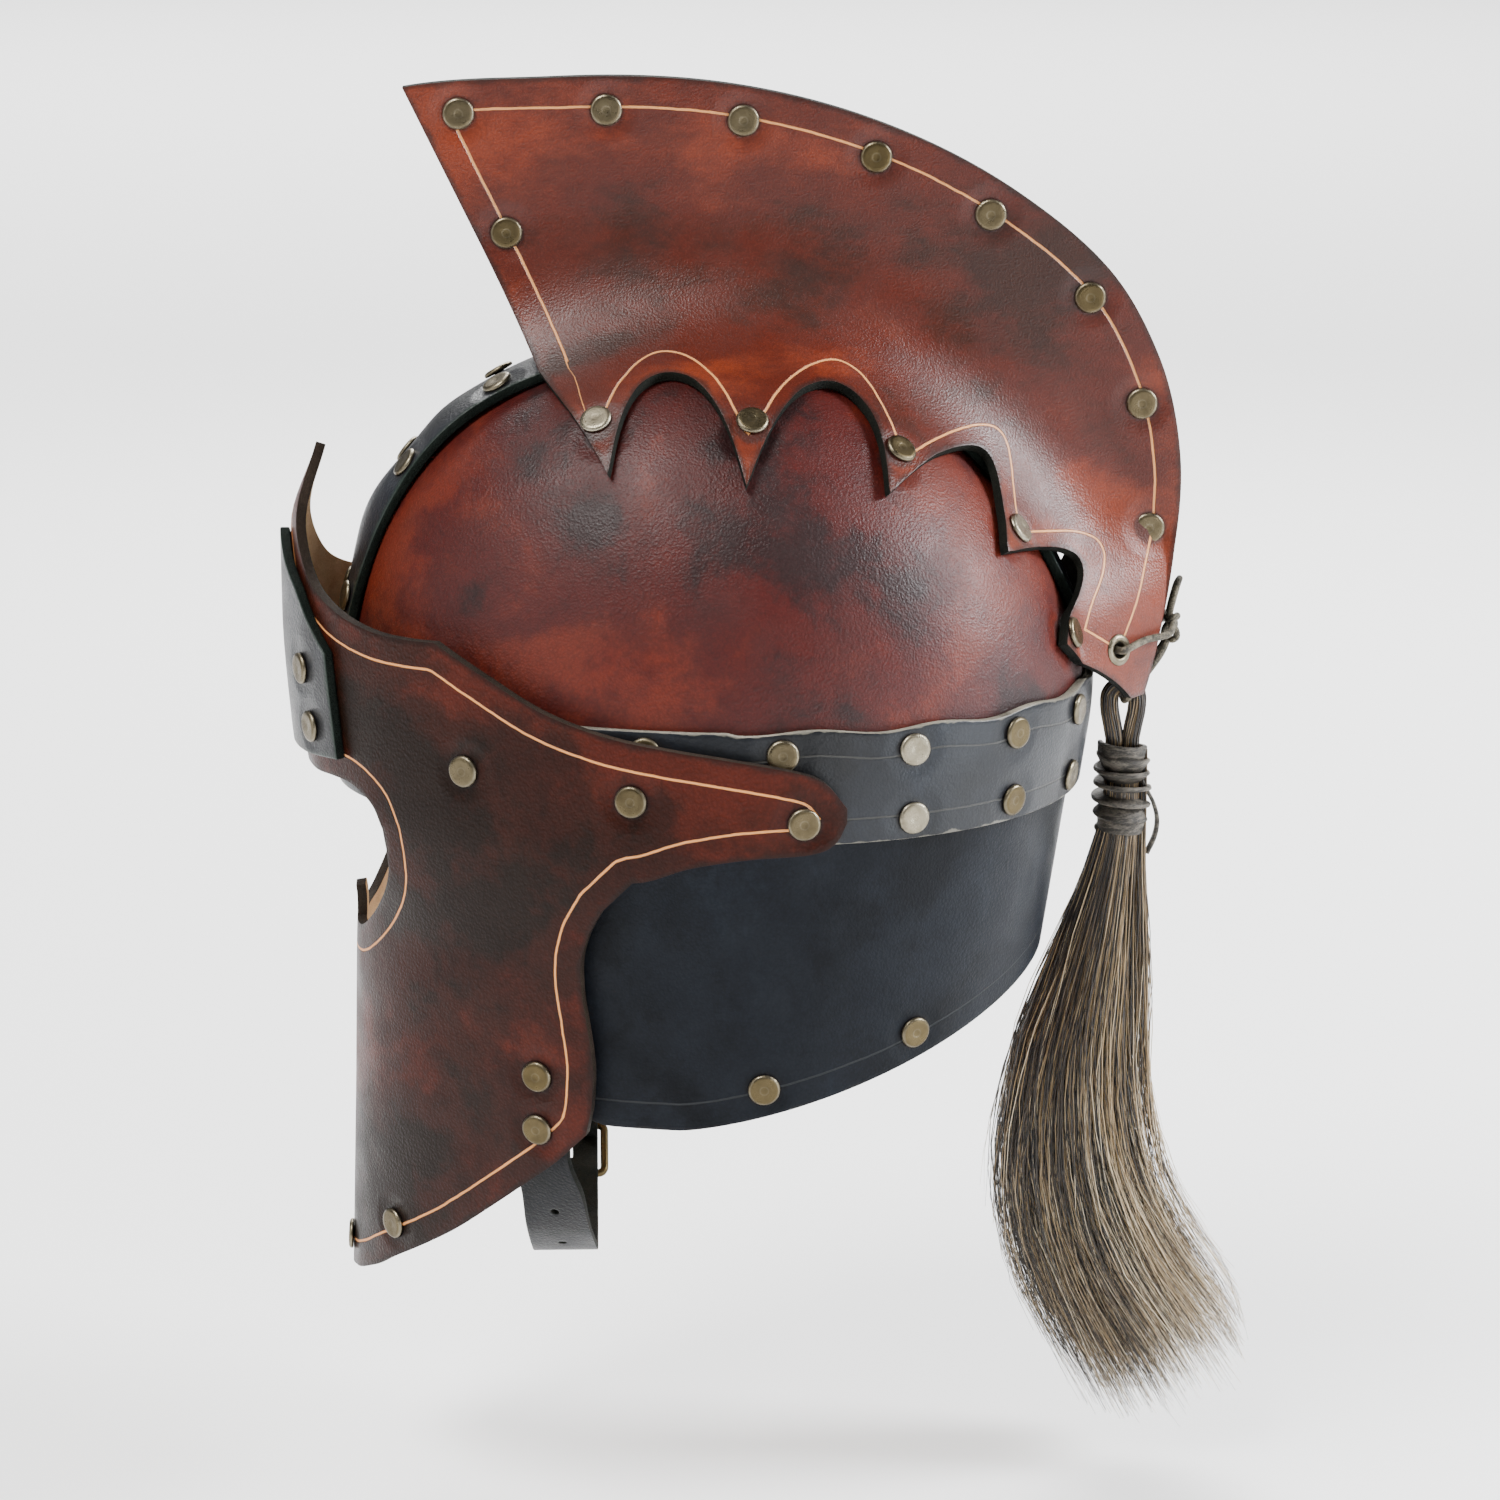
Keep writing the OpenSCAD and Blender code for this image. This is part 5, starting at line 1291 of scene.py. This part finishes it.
# %% [markdown]
# ## Straps
# A strap is a long narrow sheet that follows a route. The route is a soft curve through
# the CAD file's points, and a side direction says how the strap turns on its way. The
# chin strap comes down inside the left cheek, goes under the chin and through the buckle.

# %% Routes
def route(points, steps):
    """A soft curve through all the points, in so many steps from one to the next."""
    p = np.array(points, float)
    n, out = len(p) - 1, []
    for i in range(n):
        a, b, c, d = p[max(i - 1, 0)], p[i], p[i + 1], p[min(i + 2, n)]
        bend, swing = 2 * a - 5 * b + 4 * c - d, 3 * b - a - 3 * c + d
        for f in np.arange(steps) / steps:
            out.append(0.5 * (2 * b + (c - a) * f + bend * f**2 + swing * f**3))
    return np.array(out + [p[n]])

print("a route through 3 points in 4 steps has", len(route([[0], [1], [3]], 4)), "points")

# %% Strap maker
def unit(v):
    return v / np.maximum(np.linalg.norm(v, axis=-1, keepdims=True), 1e-9)

def lay_strap(bm, path, sides, width):
    out = unit(np.cross(np.gradient(path, axis=0), sides))
    def place(u, v, off):
        k = np.rint(u * (len(path) - 1)).astype(int)
        return path[k] + sides[k] * ((v - 0.5) * width)[:, None] + out[k] * off
    lay_hide(bm, place)

def punch(bm, centre, radius):
    """A round hole: the faces in it go, and the corners round it are drawn to a circle."""
    centre = Vector(centre) * MM
    gone = [f for f in bm.faces
            if (f.calc_center_median() - centre).length < radius * 0.85 * MM]
    bmesh.ops.delete(bm, geom=gone, context="FACES")
    for v in bm.verts:
        if v.is_boundary and (v.co - centre).length < radius * 1.9 * MM:
            v.co = centre + (v.co - centre).normalized() * radius * MM

print("strap maker ready")

# %% Places at the buckle and the cheek
buckle_at, tilt = np.array([-46, -48, -148.0]), 40
up_strap = np.array([-cos(tilt), 0, sin(tilt)])
off_chin = np.array([-sin(tilt), 0, -cos(tilt)])

def buckle_point(u, v, n):
    return buckle_at + up_strap * u + np.array([0, 1, 0]) * v + off_chin * n

def cheek_point(z):
    return mask_point(np.array([-31.0]), np.array([float(z)]), -4.9)[0]

cheek_side = unit(mask_point(np.array([-27.0]), -100.0, 0)[0]
                  - mask_point(np.array([-35.0]), -100.0, 0)[0])
print("buckle at", buckle_at)

# %% Slot for the prong
def cut_slot(bm, half_width, low, high):
    """Take out the faces near the strap's middle, from low to high up the strap in mm."""
    middle = {f: np.array(f.calc_center_median()) / MM - buckle_at for f in bm.faces}
    gone = [f for f, at in middle.items()
            if abs(at[1]) < half_width and low < np.dot(at, up_strap) < high]
    bmesh.ops.delete(bm, geom=gone, context="FACES")
    return len(gone)

print("up the strap is", up_strap.round(2))

# %% Chin strap
strap_across = np.array([0, 1.0, 0])
low_bend = np.array([52, -50, -145.0])
above_bend, past_bend = [62, -51.5, -131], [36, -48.5, -157.5]
chin_points = [cheek_point(z) for z in (-83, -95, -107, -119)] + [
    above_bend, low_bend, past_bend, [18, -48, -165.5], [0, -48, -168.5], [-15, -48, -167.5],
    buckle_point(-24, 0, -2.5), buckle_point(-18, 0, -2.9), buckle_point(-9, 0, 0.69),
    buckle_point(-1, 0, 4.68), buckle_point(6, 0, 3.4), buckle_point(12, 0, 3.3),
    buckle_point(22, 0, 3.3)]
path = route(chin_points, 14)
turn = ease((np.arange(len(path)) / 14 - 3) / 4)[:, None]
bm = flat_grid(len(path) - 1, 22)
lay_strap(bm, path, unit(mix(cheek_side, strap_across, turn)), 20)
next_hole = low_bend + unit(np.array(past_bend) - low_bend) * 16
first_hole = low_bend + unit(np.array(above_bend) - low_bend) * 8
cut_slot(bm, 1.8, -13.7, -2.7)
for spot in (first_hole, next_hole):
    near = min(bm.verts, key=lambda v: (v.co - Vector(spot) * MM).length)
    punch(bm, near.co / MM, 1.3)
measure_hide(bm)
chin = finish_object("strap_under_chin", bm, "helmet", ["chin_strap"],
                     [strap_hide, dark_flesh, dark_flesh])
thicken(chin, 2, 0.0, 0.3)
run = np.linalg.norm(np.diff(path, axis=0), axis=1).sum()
print("chin strap", len(chin.data.polygons), "faces,", round(float(run)), "mm long")

# %% [markdown]
# The buckle strap comes down inside the right cheek, folds round the buckle's bar and goes
# back up over itself, with a slot in the fold for the prong. A fold is hard to model flat
# and bend later, so the route itself turns round the bar, and the sheet follows it.

# %% Buckle strap
fold_radius = 2.38
bend = [[17, 1.02], [12, 1.02], [7, 1.05], [3.5, 1.4]]
bend += [[fold_radius * cos(t), fold_radius * sin(t)] for t in range(60, 301, 30)]
bend += [[3.5, -1.4], [7, -1.05], [12, -1.02], [17, -1.0], [22, -0.6]]
fold = [buckle_point(u, 0, n) for u, n in bend]
path = route(fold + [cheek_point(z) * other_side for z in (-119, -107, -95, -83)], 6)
turn = ease((np.arange(len(path)) / 6 - len(fold) + 3) / 4)[:, None]
bm = flat_grid(len(path) - 1, 22)
lay_strap(bm, path, unit(mix(strap_across, cheek_side * other_side, turn)), 19.8)
cut_slot(bm, 2.2, -math.inf, 7)
measure_hide(bm)
short = finish_object("strap_with_buckle", bm, "helmet", ["buckle_strap"],
                      [strap_hide, dark_flesh, dark_flesh])
thicken(short, 1.96, 0.0, 0.3)
print("buckle strap", len(short.data.polygons), "faces")

# %% [markdown]
# ## Wires, laces and loops
# A round wire or a flat lace is a section carried along a route. A curve with a bevel would
# make it too, but turns its section as it likes. So a flat grid is wrapped: one way it
# follows the route, the other way it goes round the section, its seam is merged, and open
# ends are closed. The side direction is carried from ring to ring, so nothing twists.

# %% Sweep maker
def carried_sides(path, side, closed):
    """The direction of the route at each ring, and a side direction square to it."""
    step = np.roll(path, -1, 0) - np.roll(path, 1, 0) if closed else np.gradient(path, axis=0)
    along = unit(step)
    sides, v = [], np.array(side, float)
    for t in along:
        v = unit(v - t * np.dot(v, t))
        sides.append(v)
    return along, np.array(sides)

def sweep(bm, path, section, side=(0.31, 0.17, 0.93), closed=False, scale=None):
    """Carry a section along a route, into bm; scale narrows it from ring to ring."""
    path = np.array(path, float)
    along, sides = carried_sides(path, side, closed)
    ups = np.cross(along, sides)
    n, m = len(path), len(section)
    rings = n if closed else n - 1
    part = flat_grid(rings, m)
    for v in part.verts:
        k, j = round((v.co.x + 0.5) * rings) % n, round((v.co.y + 0.5) * m) % m
        s, t = np.array(section[j]) * (1 if scale is None else scale[k])
        v.co = (path[k] + sides[k] * s + ups[k] * t) * MM
    bmesh.ops.remove_doubles(part, verts=part.verts, dist=1e-6)
    if not closed:
        ends = [e for e in part.edges if e.is_boundary]
        bmesh.ops.holes_fill(part, edges=ends, sides=0)
    bmesh.ops.recalc_face_normals(part, faces=part.faces)
    join_in(bm, part)

print("sweep maker ready")

# %% Sections
def ring(d, sides=12):
    angles = 360 * np.arange(sides) / sides
    return [(d / 2 * cos(a), d / 2 * sin(a)) for a in angles]

def rounded(w, h, r, steps=6):
    """An outline w wide and h high, with its four corners rounded to r."""
    x, y, quarter = w / 2 - r, h / 2 - r, np.linspace(0, 90, steps + 1)
    corners = ((x, y, 0), (-x, y, 90), (-x, -y, 180), (x, -y, 270))
    return [(cx + r * cos(a + b), cy + r * sin(a + b)) for cx, cy, a in corners for b in quarter]

def soft_bar(w, t, r=0.35):
    """Section of a flat lace or loop, w along the side and t thick."""
    return rounded(w, t, r, 2)

print("sections: wire", len(ring(2.6)), "bar", len(soft_bar(3, 1)))

# %% [markdown]
# The keeper is a leather loop that holds the strap's end down. The buckle is one bent wire
# with a prong that is curled round its bar. Each is swept along its own route, and rides
# on its own body, because the keeper slides and the buckle and the prong turn.

# %% Keeper, buckle and prong
bm = bmesh.new()
keeper_route = [buckle_point(10.5, v, n + 1.15) for v, n in rounded(22.8, 8.7, 1.7)]
sweep(bm, keeper_route, soft_bar(7, 1.5), up_strap, closed=True)
finish_object("keeper_loop", bm, "keeper", ["strap_keeper"], [strap_hide])

bm = bmesh.new()
frame_route = [buckle_point(u - 9, v, 0) for u, v in rounded(18, 24.2, 2.2)]
sweep(bm, frame_route, ring(2.6, 16), off_chin, closed=True)
finish_object("buckle_wire", bm, "buckle", ["buckle_frame"], [brass])

bm = bmesh.new()
curl = [buckle_point(1.83 * cos(t), 0, 1.83 * sin(t)) for t in range(-150, 151, 15)]
sweep(bm, curl, soft_bar(2.6, 0.88, 0.3), strap_across)
prong_rise = math.degrees(math.atan(2.5 / 18))
shaft = [buckle_point(-d * cos(prong_rise), 0, d * sin(prong_rise))
         for d in np.linspace(1.8, 19, 12)]
sweep(bm, shaft, ring(2.2, 14), strap_across, scale=[1.0] * 10 + [0.9, 0.6])
finish_object("prong_wire", bm, "prong", ["buckle_prong"], [brass])
print("the prong rises by", round(prong_rise, 1), "degrees")

# %% [markdown]
# An eyelet is a short tube whose ends are rolled over the leather. It could be a torus and
# a cylinder joined together, but one profile that runs up the hole, out over the face and
# back gives the rolled edge and the tube in one spin.

# %% Eyelets
eyelet_profile = [(2.5, -1.9), (2.5, 1.6), (2.6, 1.95), (2.95, 2.2), (3.5, 2.25), (4.2, 2.05),
                  (4.7, 1.7), (4.8, 1.55), (3.0, 1.5), (3.0, -1.5), (4.8, -1.55),
                  (4.6, -1.9), (3.4, -2.05), (2.5, -1.9)]
bm = bmesh.new()
tint = bm.verts.layers.float.new("tint")
for side in (1, -1):
    one = bmesh.new()
    spin_profile(one, eyelet_profile, 36)
    stand = stand_on(eyelet_spot * [side, 1, 1], eyelet_axis * [side, 1, 1])
    bmesh.ops.transform(one, matrix=stand, verts=one.verts)
    join_in(bm, one)
for v in bm.verts:
    v[tint] = 0.45
finish_object("eyelets", bm, "helmet", ["crest_eyelets"], [brass])
print("eyelets at", eyelet_spot.round(1))

# %% [markdown]
# ## Laces
# One round lace passes through both eyelets and ends in a knot behind the crest, and a
# loop hangs from the knot and carries the hair. Both are leather cords of a fixed length.
# The knot is a three lobed knot with a short bight. A real one is tied, which would take a
# long simulation, so a formula with three lobes stands for it. The lace's leather is worn:
# olive brown, with pale rubbed places.

# %% Lace finish
def lace_finish(name, dark, light, scale, stretch=(1, 1, 1)):
    material, tree, shader, place = new_finish(name)
    vector = stretched(tree, place, stretch)
    wear = cloud(tree, vector, scale, 5.0, 0.65, 0.5)
    fibres = cloud(tree, vector, scale * 6, 3.0, 0.7)
    both = weigh(tree, (wear, 0.6), (fibres, 0.4))
    colour = blend_colours(tree, between(tree, both, 0.42, 0.62), dark, light)
    wire(tree, shader.inputs["Base Color"], colour)
    wire(tree, shader.inputs["Roughness"], between(tree, fibres, 0.3, 0.7, 0.5, 0.75))
    shader.inputs["Specular IOR Level"].default_value = 0.35
    bump(tree, shader, both, 0.0005)
    return material

round_lace = lace_finish("round_lace", rgb(0.022, 0.018, 0.011), rgb(0.17, 0.145, 0.10), 500.0)
flat_lace = lace_finish("flat_lace", rgb(0.018, 0.016, 0.013), rgb(0.115, 0.10, 0.08), 170.0,
                        stretch=(1, 1, 3.5))
print("lace finishes:", round_lace.name, "and", flat_lace.name)

# %% Lace through the eyelets
tail_at = np.array([0, 125, 4.5])
knot_at = tail_at + [0, 14, 23]
lace_d = 2.2
across_loop = (0, 1, 0)

def length(path):
    return float(np.linalg.norm(np.diff(path, axis=0), axis=1).sum()) * MM

n = eyelet_axis
half_lace = [eyelet_spot - n * 5.5, eyelet_spot, eyelet_spot + n * 4,
             eyelet_spot + n * 4 + [-7, 7, 1.5], knot_at + [11, -2, -0.5],
             knot_at + [3.9, 0, 1.55]]
lace_path = route([p * other_side for p in half_lace[::-1]] + half_lace, 8)
bm = bmesh.new()
sweep(bm, lace_path, ring(lace_d), (0, 0, 1))
lace = finish_object("crest_lace", bm, "helmet", ["tail_lace"], [round_lace])
print("lace", round(length(lace_path), 3), "m")

# %% Knot
bm = bmesh.new()
lobes = [knot_at + 1.55 * np.array([sin(a) + 2 * sin(2 * a), -1.1 * sin(3 * a),
                                    cos(a) - 2 * cos(2 * a)]) for a in range(0, 360, 5)]
sweep(bm, lobes, ring(lace_d), (0.3, 0.2, 0.9), closed=True)
bight_points = [[1.5, -1, 2], [2.2, 0, 7], [1.6, 1.5, 12.5], [0, 2.4, 14.5], [-1.6, 1.5, 12],
                [-1.8, 0, 6], [-1, -1, 1]]
sweep(bm, route([knot_at + p for p in bight_points], 6), ring(2.0, 10), across_loop)
knot = finish_object("lace_knot", bm, "helmet", ["tail_knot"], [round_lace])
print("knot", len(knot.data.polygons), "faces")

# %% Hanging loop
hair_bundle = 5.8
s = hair_bundle / 2 + lace_d / 2 + 0.8
half_loop = np.array([[0.55 * s, 0, 0], [s, 1, 1.6], [s, 4.5, 6.5], [0.9 * s, 8, 11],
                      [0.5 * s, 11, 14.8], [0.3 * s, 12.8, 18.5]])
loop_path = route([*(tail_at + half_loop[::-1] * other_side), tail_at,
                   *(tail_at + half_loop)], 8)
bm = bmesh.new()
sweep(bm, loop_path, ring(lace_d), across_loop)
loop = finish_object("lace_loop", bm, "sling", ["tail_sling"], [round_lace])
print("loop", round(length(loop_path), 3), "m")

# %% [markdown]
# ## Whipping
# A flat lace is wound tightly round the hair in seven turns, and its end is left loose. A
# stack of rings would look like a machine's work. Here one helix is swept, and its radius,
# its height and its tilt waver a little, as in a hand wound lace.

# %% Whipping
rng = random.Random(4)
wave = np.convolve([rng.uniform(-1, 1) for _ in range(60)], np.ones(4) / 4, "same")
turns, per_turn, pitch, top_turn = 7.0, 40, 3.85, -11.0
angles = np.arange(int(turns * per_turn) + 1) * 360 / per_turn - 90
count = np.arange(len(angles))

def waver(every):
    """The wave along the winding, with a new value after every so many steps."""
    return np.interp(count, np.arange(60) * every, wave)

tilted = 0.35 * sin(angles + 60 + 40 * waver(20)) * (0.6 + 0.8 * waver(17))
heights = top_turn - pitch * count / per_turn + tilted + 0.3 * waver(6)
radii = 6.6 + 0.5 * waver(9) + 0.6 * np.exp(-count / 14)
wound = np.stack([radii * cos(angles), tail_at[1] + radii * sin(angles), heights], 1)
loose_end = [[1.5, 130.6, -20.5], [1.2, 132.4, -24], [0.8, 134.8, -28.5], [0.3, 136.2, -34],
             [-0.3, 135.6, -39.5], [-1, 133.4, -45]]
bm = bmesh.new()
sweep(bm, wound, soft_bar(5.2, 1.5, 0.45), (0, 0, 1))
sweep(bm, route(loose_end, 6), soft_bar(2.9, 1.2, 0.35), (1, 0, 0))
finish_object("flat_whipping", bm, "tail", ["tail_whipping"], [flat_lace])
print("whipping", turns, "turns of", round(length(wound) / turns * 1000), "mm")

# %% [markdown]
# ## Hair
# The tail is horse hair: thousands of strands that leave the whipping together, swing
# forward and sweep back at the tips. Blender's own hair would comb well, but it isn't
# exported. So each strand is a thin tapering curve, made a mesh with four sides and few
# steps, because there are so many. Its tone is stored on it: mostly dark brown, with
# golden and pale strands towards the back.

# %% Hair finish
horse_hair, tree, shader, place = new_finish("horse_hair")
tone = tree.nodes.new("ShaderNodeValToRGB")
ramp = tone.color_ramp
ramp.elements[0].position, ramp.elements[0].color = 0.0, rgb(0.010, 0.007, 0.005)
ramp.elements[1].position, ramp.elements[1].color = 1.0, rgb(0.78, 0.66, 0.47)
for at_tone, colour in ((0.35, rgb(0.030, 0.020, 0.011)), (0.58, rgb(0.12, 0.078, 0.036)),
                        (0.8, rgb(0.38, 0.26, 0.125))):
    ramp.elements.new(at_tone).color = colour
patches = calc(tree, "SUBTRACT", cloud(tree, place, 60.0, 3.0), 0.5)
split = tree.nodes.new("ShaderNodeSeparateXYZ")
wire(tree, split.inputs[0], place)
lower = between(tree, split.outputs["Z"], -0.2, -0.04, 0.07, -0.13)
strand = calc(tree, "ADD", measure(tree, "tint"), lower)
patches = calc(tree, "MULTIPLY", patches, 0.35)
wire(tree, tone.inputs["Fac"], calc(tree, "ADD", strand, patches, clamp=True))
wire(tree, shader.inputs["Base Color"], tone.outputs["Color"])
gloss = between(tree, cloud(tree, place, 900.0, 2.0), 0.3, 0.7, 0.28, 0.45)
wire(tree, shader.inputs["Roughness"], gloss)
shader.inputs["Specular IOR Level"].default_value = 0.6
bump(tree, shader, cloud(tree, place, 3000.0, 2.0), 0.00003)
print("hair tones:", len(ramp.elements))

# %% Strand maker
def comb(name, strands, tints, radii, node, taper=0.3):
    """One piece of many strands: a curve with a round bevel, turned into a mesh."""
    curve = bpy.data.curves.new(name, "CURVE")
    curve.dimensions, curve.bevel_depth, curve.bevel_resolution = "3D", MM, 0
    count = len(strands[0])
    thinner = np.interp(np.linspace(0, 1, count), [0, 0.6, 1], [1, 1, taper])
    for points, r in zip(strands, radii):
        spline = curve.splines.new("POLY")
        spline.points.add(count - 1)
        spline.points.foreach_set("co", np.column_stack([points * MM, np.ones(count)]).ravel())
        spline.points.foreach_set("radius", r * thinner)
    shape = bpy.data.objects.new(name + "_curve", curve)
    bpy.context.scene.collection.objects.link(shape)
    combed = shape.evaluated_get(bpy.context.evaluated_depsgraph_get())
    mesh = bpy.data.meshes.new_from_object(combed)
    bpy.data.objects.remove(shape)
    mesh.materials.clear()
    mesh.materials.append(horse_hair)
    tones = np.repeat(np.array(tints, np.float32), len(mesh.vertices) // len(strands))
    mesh.attributes.new("tint", "FLOAT", "POINT").data.foreach_set("value", tones)
    mesh.shade_smooth()
    piece = bpy.data.objects.new(name, mesh)
    bpy.context.scene.collection.objects.link(piece)
    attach(piece, "tail")
    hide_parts(node)
    return piece

def hair_tone(rng, back):
    """Mostly dark; back, from 0 to 1, makes golden and pale strands more frequent."""
    if rng.random() < 0.06 + 0.08 * back:
        return rng.uniform(0.85, 1.0)
    return rng.uniform(0.6, 0.88) if rng.random() < 0.16 + 0.45 * back else rng.uniform(0.0, 0.42)

print("strand maker ready")

# %% Strand route
hair_front = [[11, 119.8], [38, 119.4], [43, 117], [80, 102], [107, 93], [141, 88.8],
              [158, 89.6], [177, 94.3], [194, 101.5], [208, 110.5], [222, 119], [240, 130]]
hair_back = [[11, 130.2], [38, 130.6], [43, 130.2], [74, 131], [112, 130], [144, 134],
             [166, 142.5], [182, 151.5], [194, 160], [215, 171], [240, 182]]
hair_wide = [[11, 5.2], [38, 5.4], [98, 12], [150, 16], [240, 19]]
steps, bundle_end = 12, 0.12
hair_top, whipping_end, hair_reach, behind = 11, 38, 228, 165

def hair_strand(rng, loose=False):
    """A strand's points, and how far back it starts; depth runs down from the loop."""
    spread, turn = math.sqrt(rng.random()), rng.uniform(0, 360)
    across, back = spread * cos(turn), spread * sin(turn)
    if loose:
        back = rng.uniform(0.95, 1.45)
        across *= 0.6
    tip = hair_reach - 13 * (back + 1) + rng.uniform(-30, 5)
    tip -= (rng.random() < 0.1) * rng.uniform(0, 60)
    t = np.linspace(0, 1, steps)
    depth = np.interp(t, [0, bundle_end, 1], [hair_top, whipping_end, tip])
    drift = rng.uniform(-0.22, 0.22) * t * (1 + 2.2 * (rng.random() < 0.22))
    where = np.clip((back + drift + 1) / 2, -0.08, 1.2 if loose else 1.05)
    waver_y, waver_x = (t**0.7 * rng.uniform(0.2, 3.0)
                        * sin(rng.uniform(0, 360) + t * rng.uniform(300, 1000))
                        for _ in range(2))
    gathered = np.interp(t, [0, bundle_end, 0.3, 0.8, 1], [1, 0.95, 0.86, 0.9, 1])
    where = 0.5 + (where - 0.5) * gathered
    y = mix(smooth(depth, hair_front), smooth(depth, hair_back), where) + waver_y
    y = y - 0.75 * np.maximum(y - behind, 0)
    x = smooth(depth, hair_wide) * (across + drift * 0.8) + waver_x + t * rng.uniform(-1, 1)
    return np.stack([x, y, -depth], 1), (back + 1) / 2

print("a strand has", steps, "points")

# %% Hair tail
strands_each, loose_every = 2000, 40
for k, (low, high) in enumerate(((0.12, 0.17), (0.13, 0.18), (0.10, 0.15))):
    rng = random.Random(100 + k)
    strands, tints = [], []
    for m in range(strands_each):
        points, back = hair_strand(rng, loose=m % loose_every == 0)
        strands.append(points)
        tints.append(hair_tone(rng, min(max(back, 0), 1)))
    radii = [rng.uniform(low, high) for _ in strands]
    piece = comb("hair_%d" % (k + 1), strands, tints, radii, "tail_hair")
    print(piece.name, len(strands), "strands,", len(piece.data.polygons), "faces")

# %% [markdown]
# Above the whipping the same hair is bent over the lace loop as one tight bundle. A smooth
# tube would look like rope, so strands again follow the bend, each at its own place in the
# bundle, and twist a little round each other.

# %% Hair loop
bend_radius, bundle_radius = 4.35, 2.75
legs = [[-2.5, -19], [-2.5, -12.5], [-4.05, -4.5]]
arc = [[bend_radius * cos(a), bend_radius * sin(a)] for a in range(180, -1, -30)]
bend = route([[0, y, z] for y, z in legs + arc + [[-y, z] for y, z in legs[::-1]]], 2)
ear_axis = np.array([1.0, 0, 0])
flat_side = unit(np.cross(np.gradient(bend, axis=0), ear_axis))
rng, strands, tints = random.Random(9), [], []
for m in range(260):
    spread, turn = bundle_radius * math.sqrt(rng.random()), rng.uniform(0, 360)
    around = turn + rng.uniform(-40, 40) * np.linspace(-1, 1, len(bend))
    u, v = (spread * cos(around))[:, None], (spread * sin(around))[:, None]
    strands.append(tail_at + bend + u * ear_axis + v * flat_side)
    tints.append(hair_tone(rng, rng.random() * 0.9))
radii = [rng.uniform(0.16, 0.24) for _ in strands]
piece = comb("hair_over_loop", strands, tints, radii, "tail_hair_loop", taper=1.0)
print("hair loop", len(strands), "strands,", len(piece.data.polygons), "faces")

# %% [markdown]
# Last, the frame's box and the dressed part's box are shown, so that the two sizes can be
# compared.

# %% Sizes and end
plain = lambda box: [[round(float(c), 5) for c in corner] for corner in box]
{"cad": plain(cad_box), "dressed": plain(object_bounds())}
